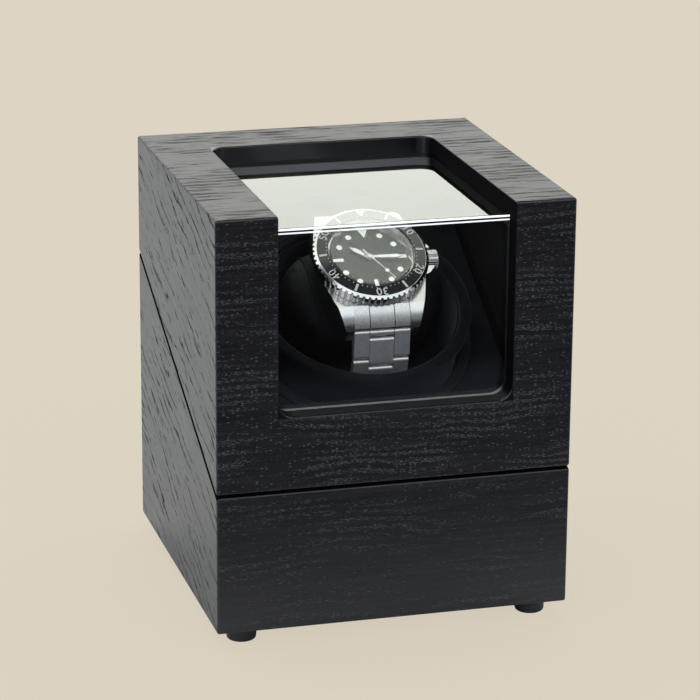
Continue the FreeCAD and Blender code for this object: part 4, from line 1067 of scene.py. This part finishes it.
def camera():
    data = bpy.data.cameras.new("camera")
    data.lens = CAMERA_LENS
    data.sensor_width = 36.0
    data.clip_start = 0.05
    data.clip_end = 50.0
    thing = bpy.data.objects.new("camera", data)
    bpy.context.scene.collection.objects.link(thing)
    aim = CAMERA_AIM.normalized()
    right = aim.cross(Vector(Z_AXIS)).normalized()
    up = right.cross(aim)
    across = right * math.cos(CAMERA_ROLL) + up * math.sin(CAMERA_ROLL)
    upward = up * math.cos(CAMERA_ROLL) - right * math.sin(CAMERA_ROLL)
    turn = Matrix((across, upward, -aim)).transposed().to_4x4()
    thing.matrix_world = Matrix.Translation(CAMERA_PLACE) @ turn
    bpy.context.scene.camera = thing


def light_dome():
    """A dim room with a large soft panel above and behind the object, a weak one at the left and one ahead.

    The camera sees only a plain backdrop.
    """
    world = bpy.data.worlds.new("dome")
    bpy.context.scene.world = world
    world.use_nodes = True
    look = Look("dome", world.node_tree)
    x, y, z = look.split(look.add("TexCoord").outputs["Generated"])
    panel = look.product(look.ramp(y, -0.10, 0.03), look.ramp(z, 0.10, 0.22))
    left = look.product(look.ramp(x, -0.35, -0.75), look.ramp(z, 0.05, 0.3), LEFT_LIGHT)
    ahead = look.product(look.ramp(y, -0.45, -0.60), look.ramp(z, 0.23, 0.37), AHEAD_LIGHT)
    strength = look.plus(look.plus(look.between(panel, ROOM_LIGHT, PANEL_LIGHT), left), ahead)
    tint = look.mix(panel, (0.93, 0.96, 1.05), (0.985, 1.0, 0.945))
    lamp = look.wired(look.add("Background"), tint, strength)[0]
    backdrop = look.wired(look.add("Background"), BACKGROUND)[0]
    look.wired(look.add("OutputWorld"), look.seen_as(lamp, backdrop))


def floor():
    """A pale floor, which the camera sees in an even tone with a faint soft shadow.

    The light it throws on the object is neutral from the sides and behind, and dim from ahead.
    """
    look = Look("floor")
    _, y, _ = look.split(look.position())
    paper = look.noise(look.position(), 1.4, 3.0)
    tone = look.mix(paper, toned(BACKGROUND, 0.80), toned(BACKGROUND, 0.84))
    lit = look.wired(look.add("BsdfDiffuse"), tone)[0]
    even = look.wired(look.add("Emission"), BACKGROUND)[0]
    ahead = look.ramp(y, -82.0, -190.0)
    far_ahead = look.ramp(y, -340.0, -400.0)
    dim = look.mix(far_ahead, (0.055, 0.065, 0.095), (0.012, 0.012, 0.014))
    thrown = look.wired(look.add("BsdfDiffuse"), look.mix(ahead, (0.70, 0.705, 0.705), dim))[0]
    material = look.done(look.seen_as(thrown, look.covered(EVEN_SHARE, lit, even)))
    mesh = bmesh.new()
    mesh.faces.new([mesh.verts.new((*corner, 0)) for corner in bar(FLOOR_SIDE, FLOOR_SIDE, 0)])
    data = bpy.data.meshes.new("floor")
    mesh.to_mesh(data)
    mesh.free()
    data.materials.append(material)
    thing = bpy.data.objects.new("floor", data)
    bpy.context.scene.collection.objects.link(thing)


camera()
light_dome()
floor()

scene = bpy.context.scene
scene.view_settings.view_transform = "Standard"
scene.cycles.use_denoising = True
scene.cycles.max_bounces = 14
scene.cycles.transparent_max_bounces = 24
scene.cycles.sample_clamp_indirect = 6.0
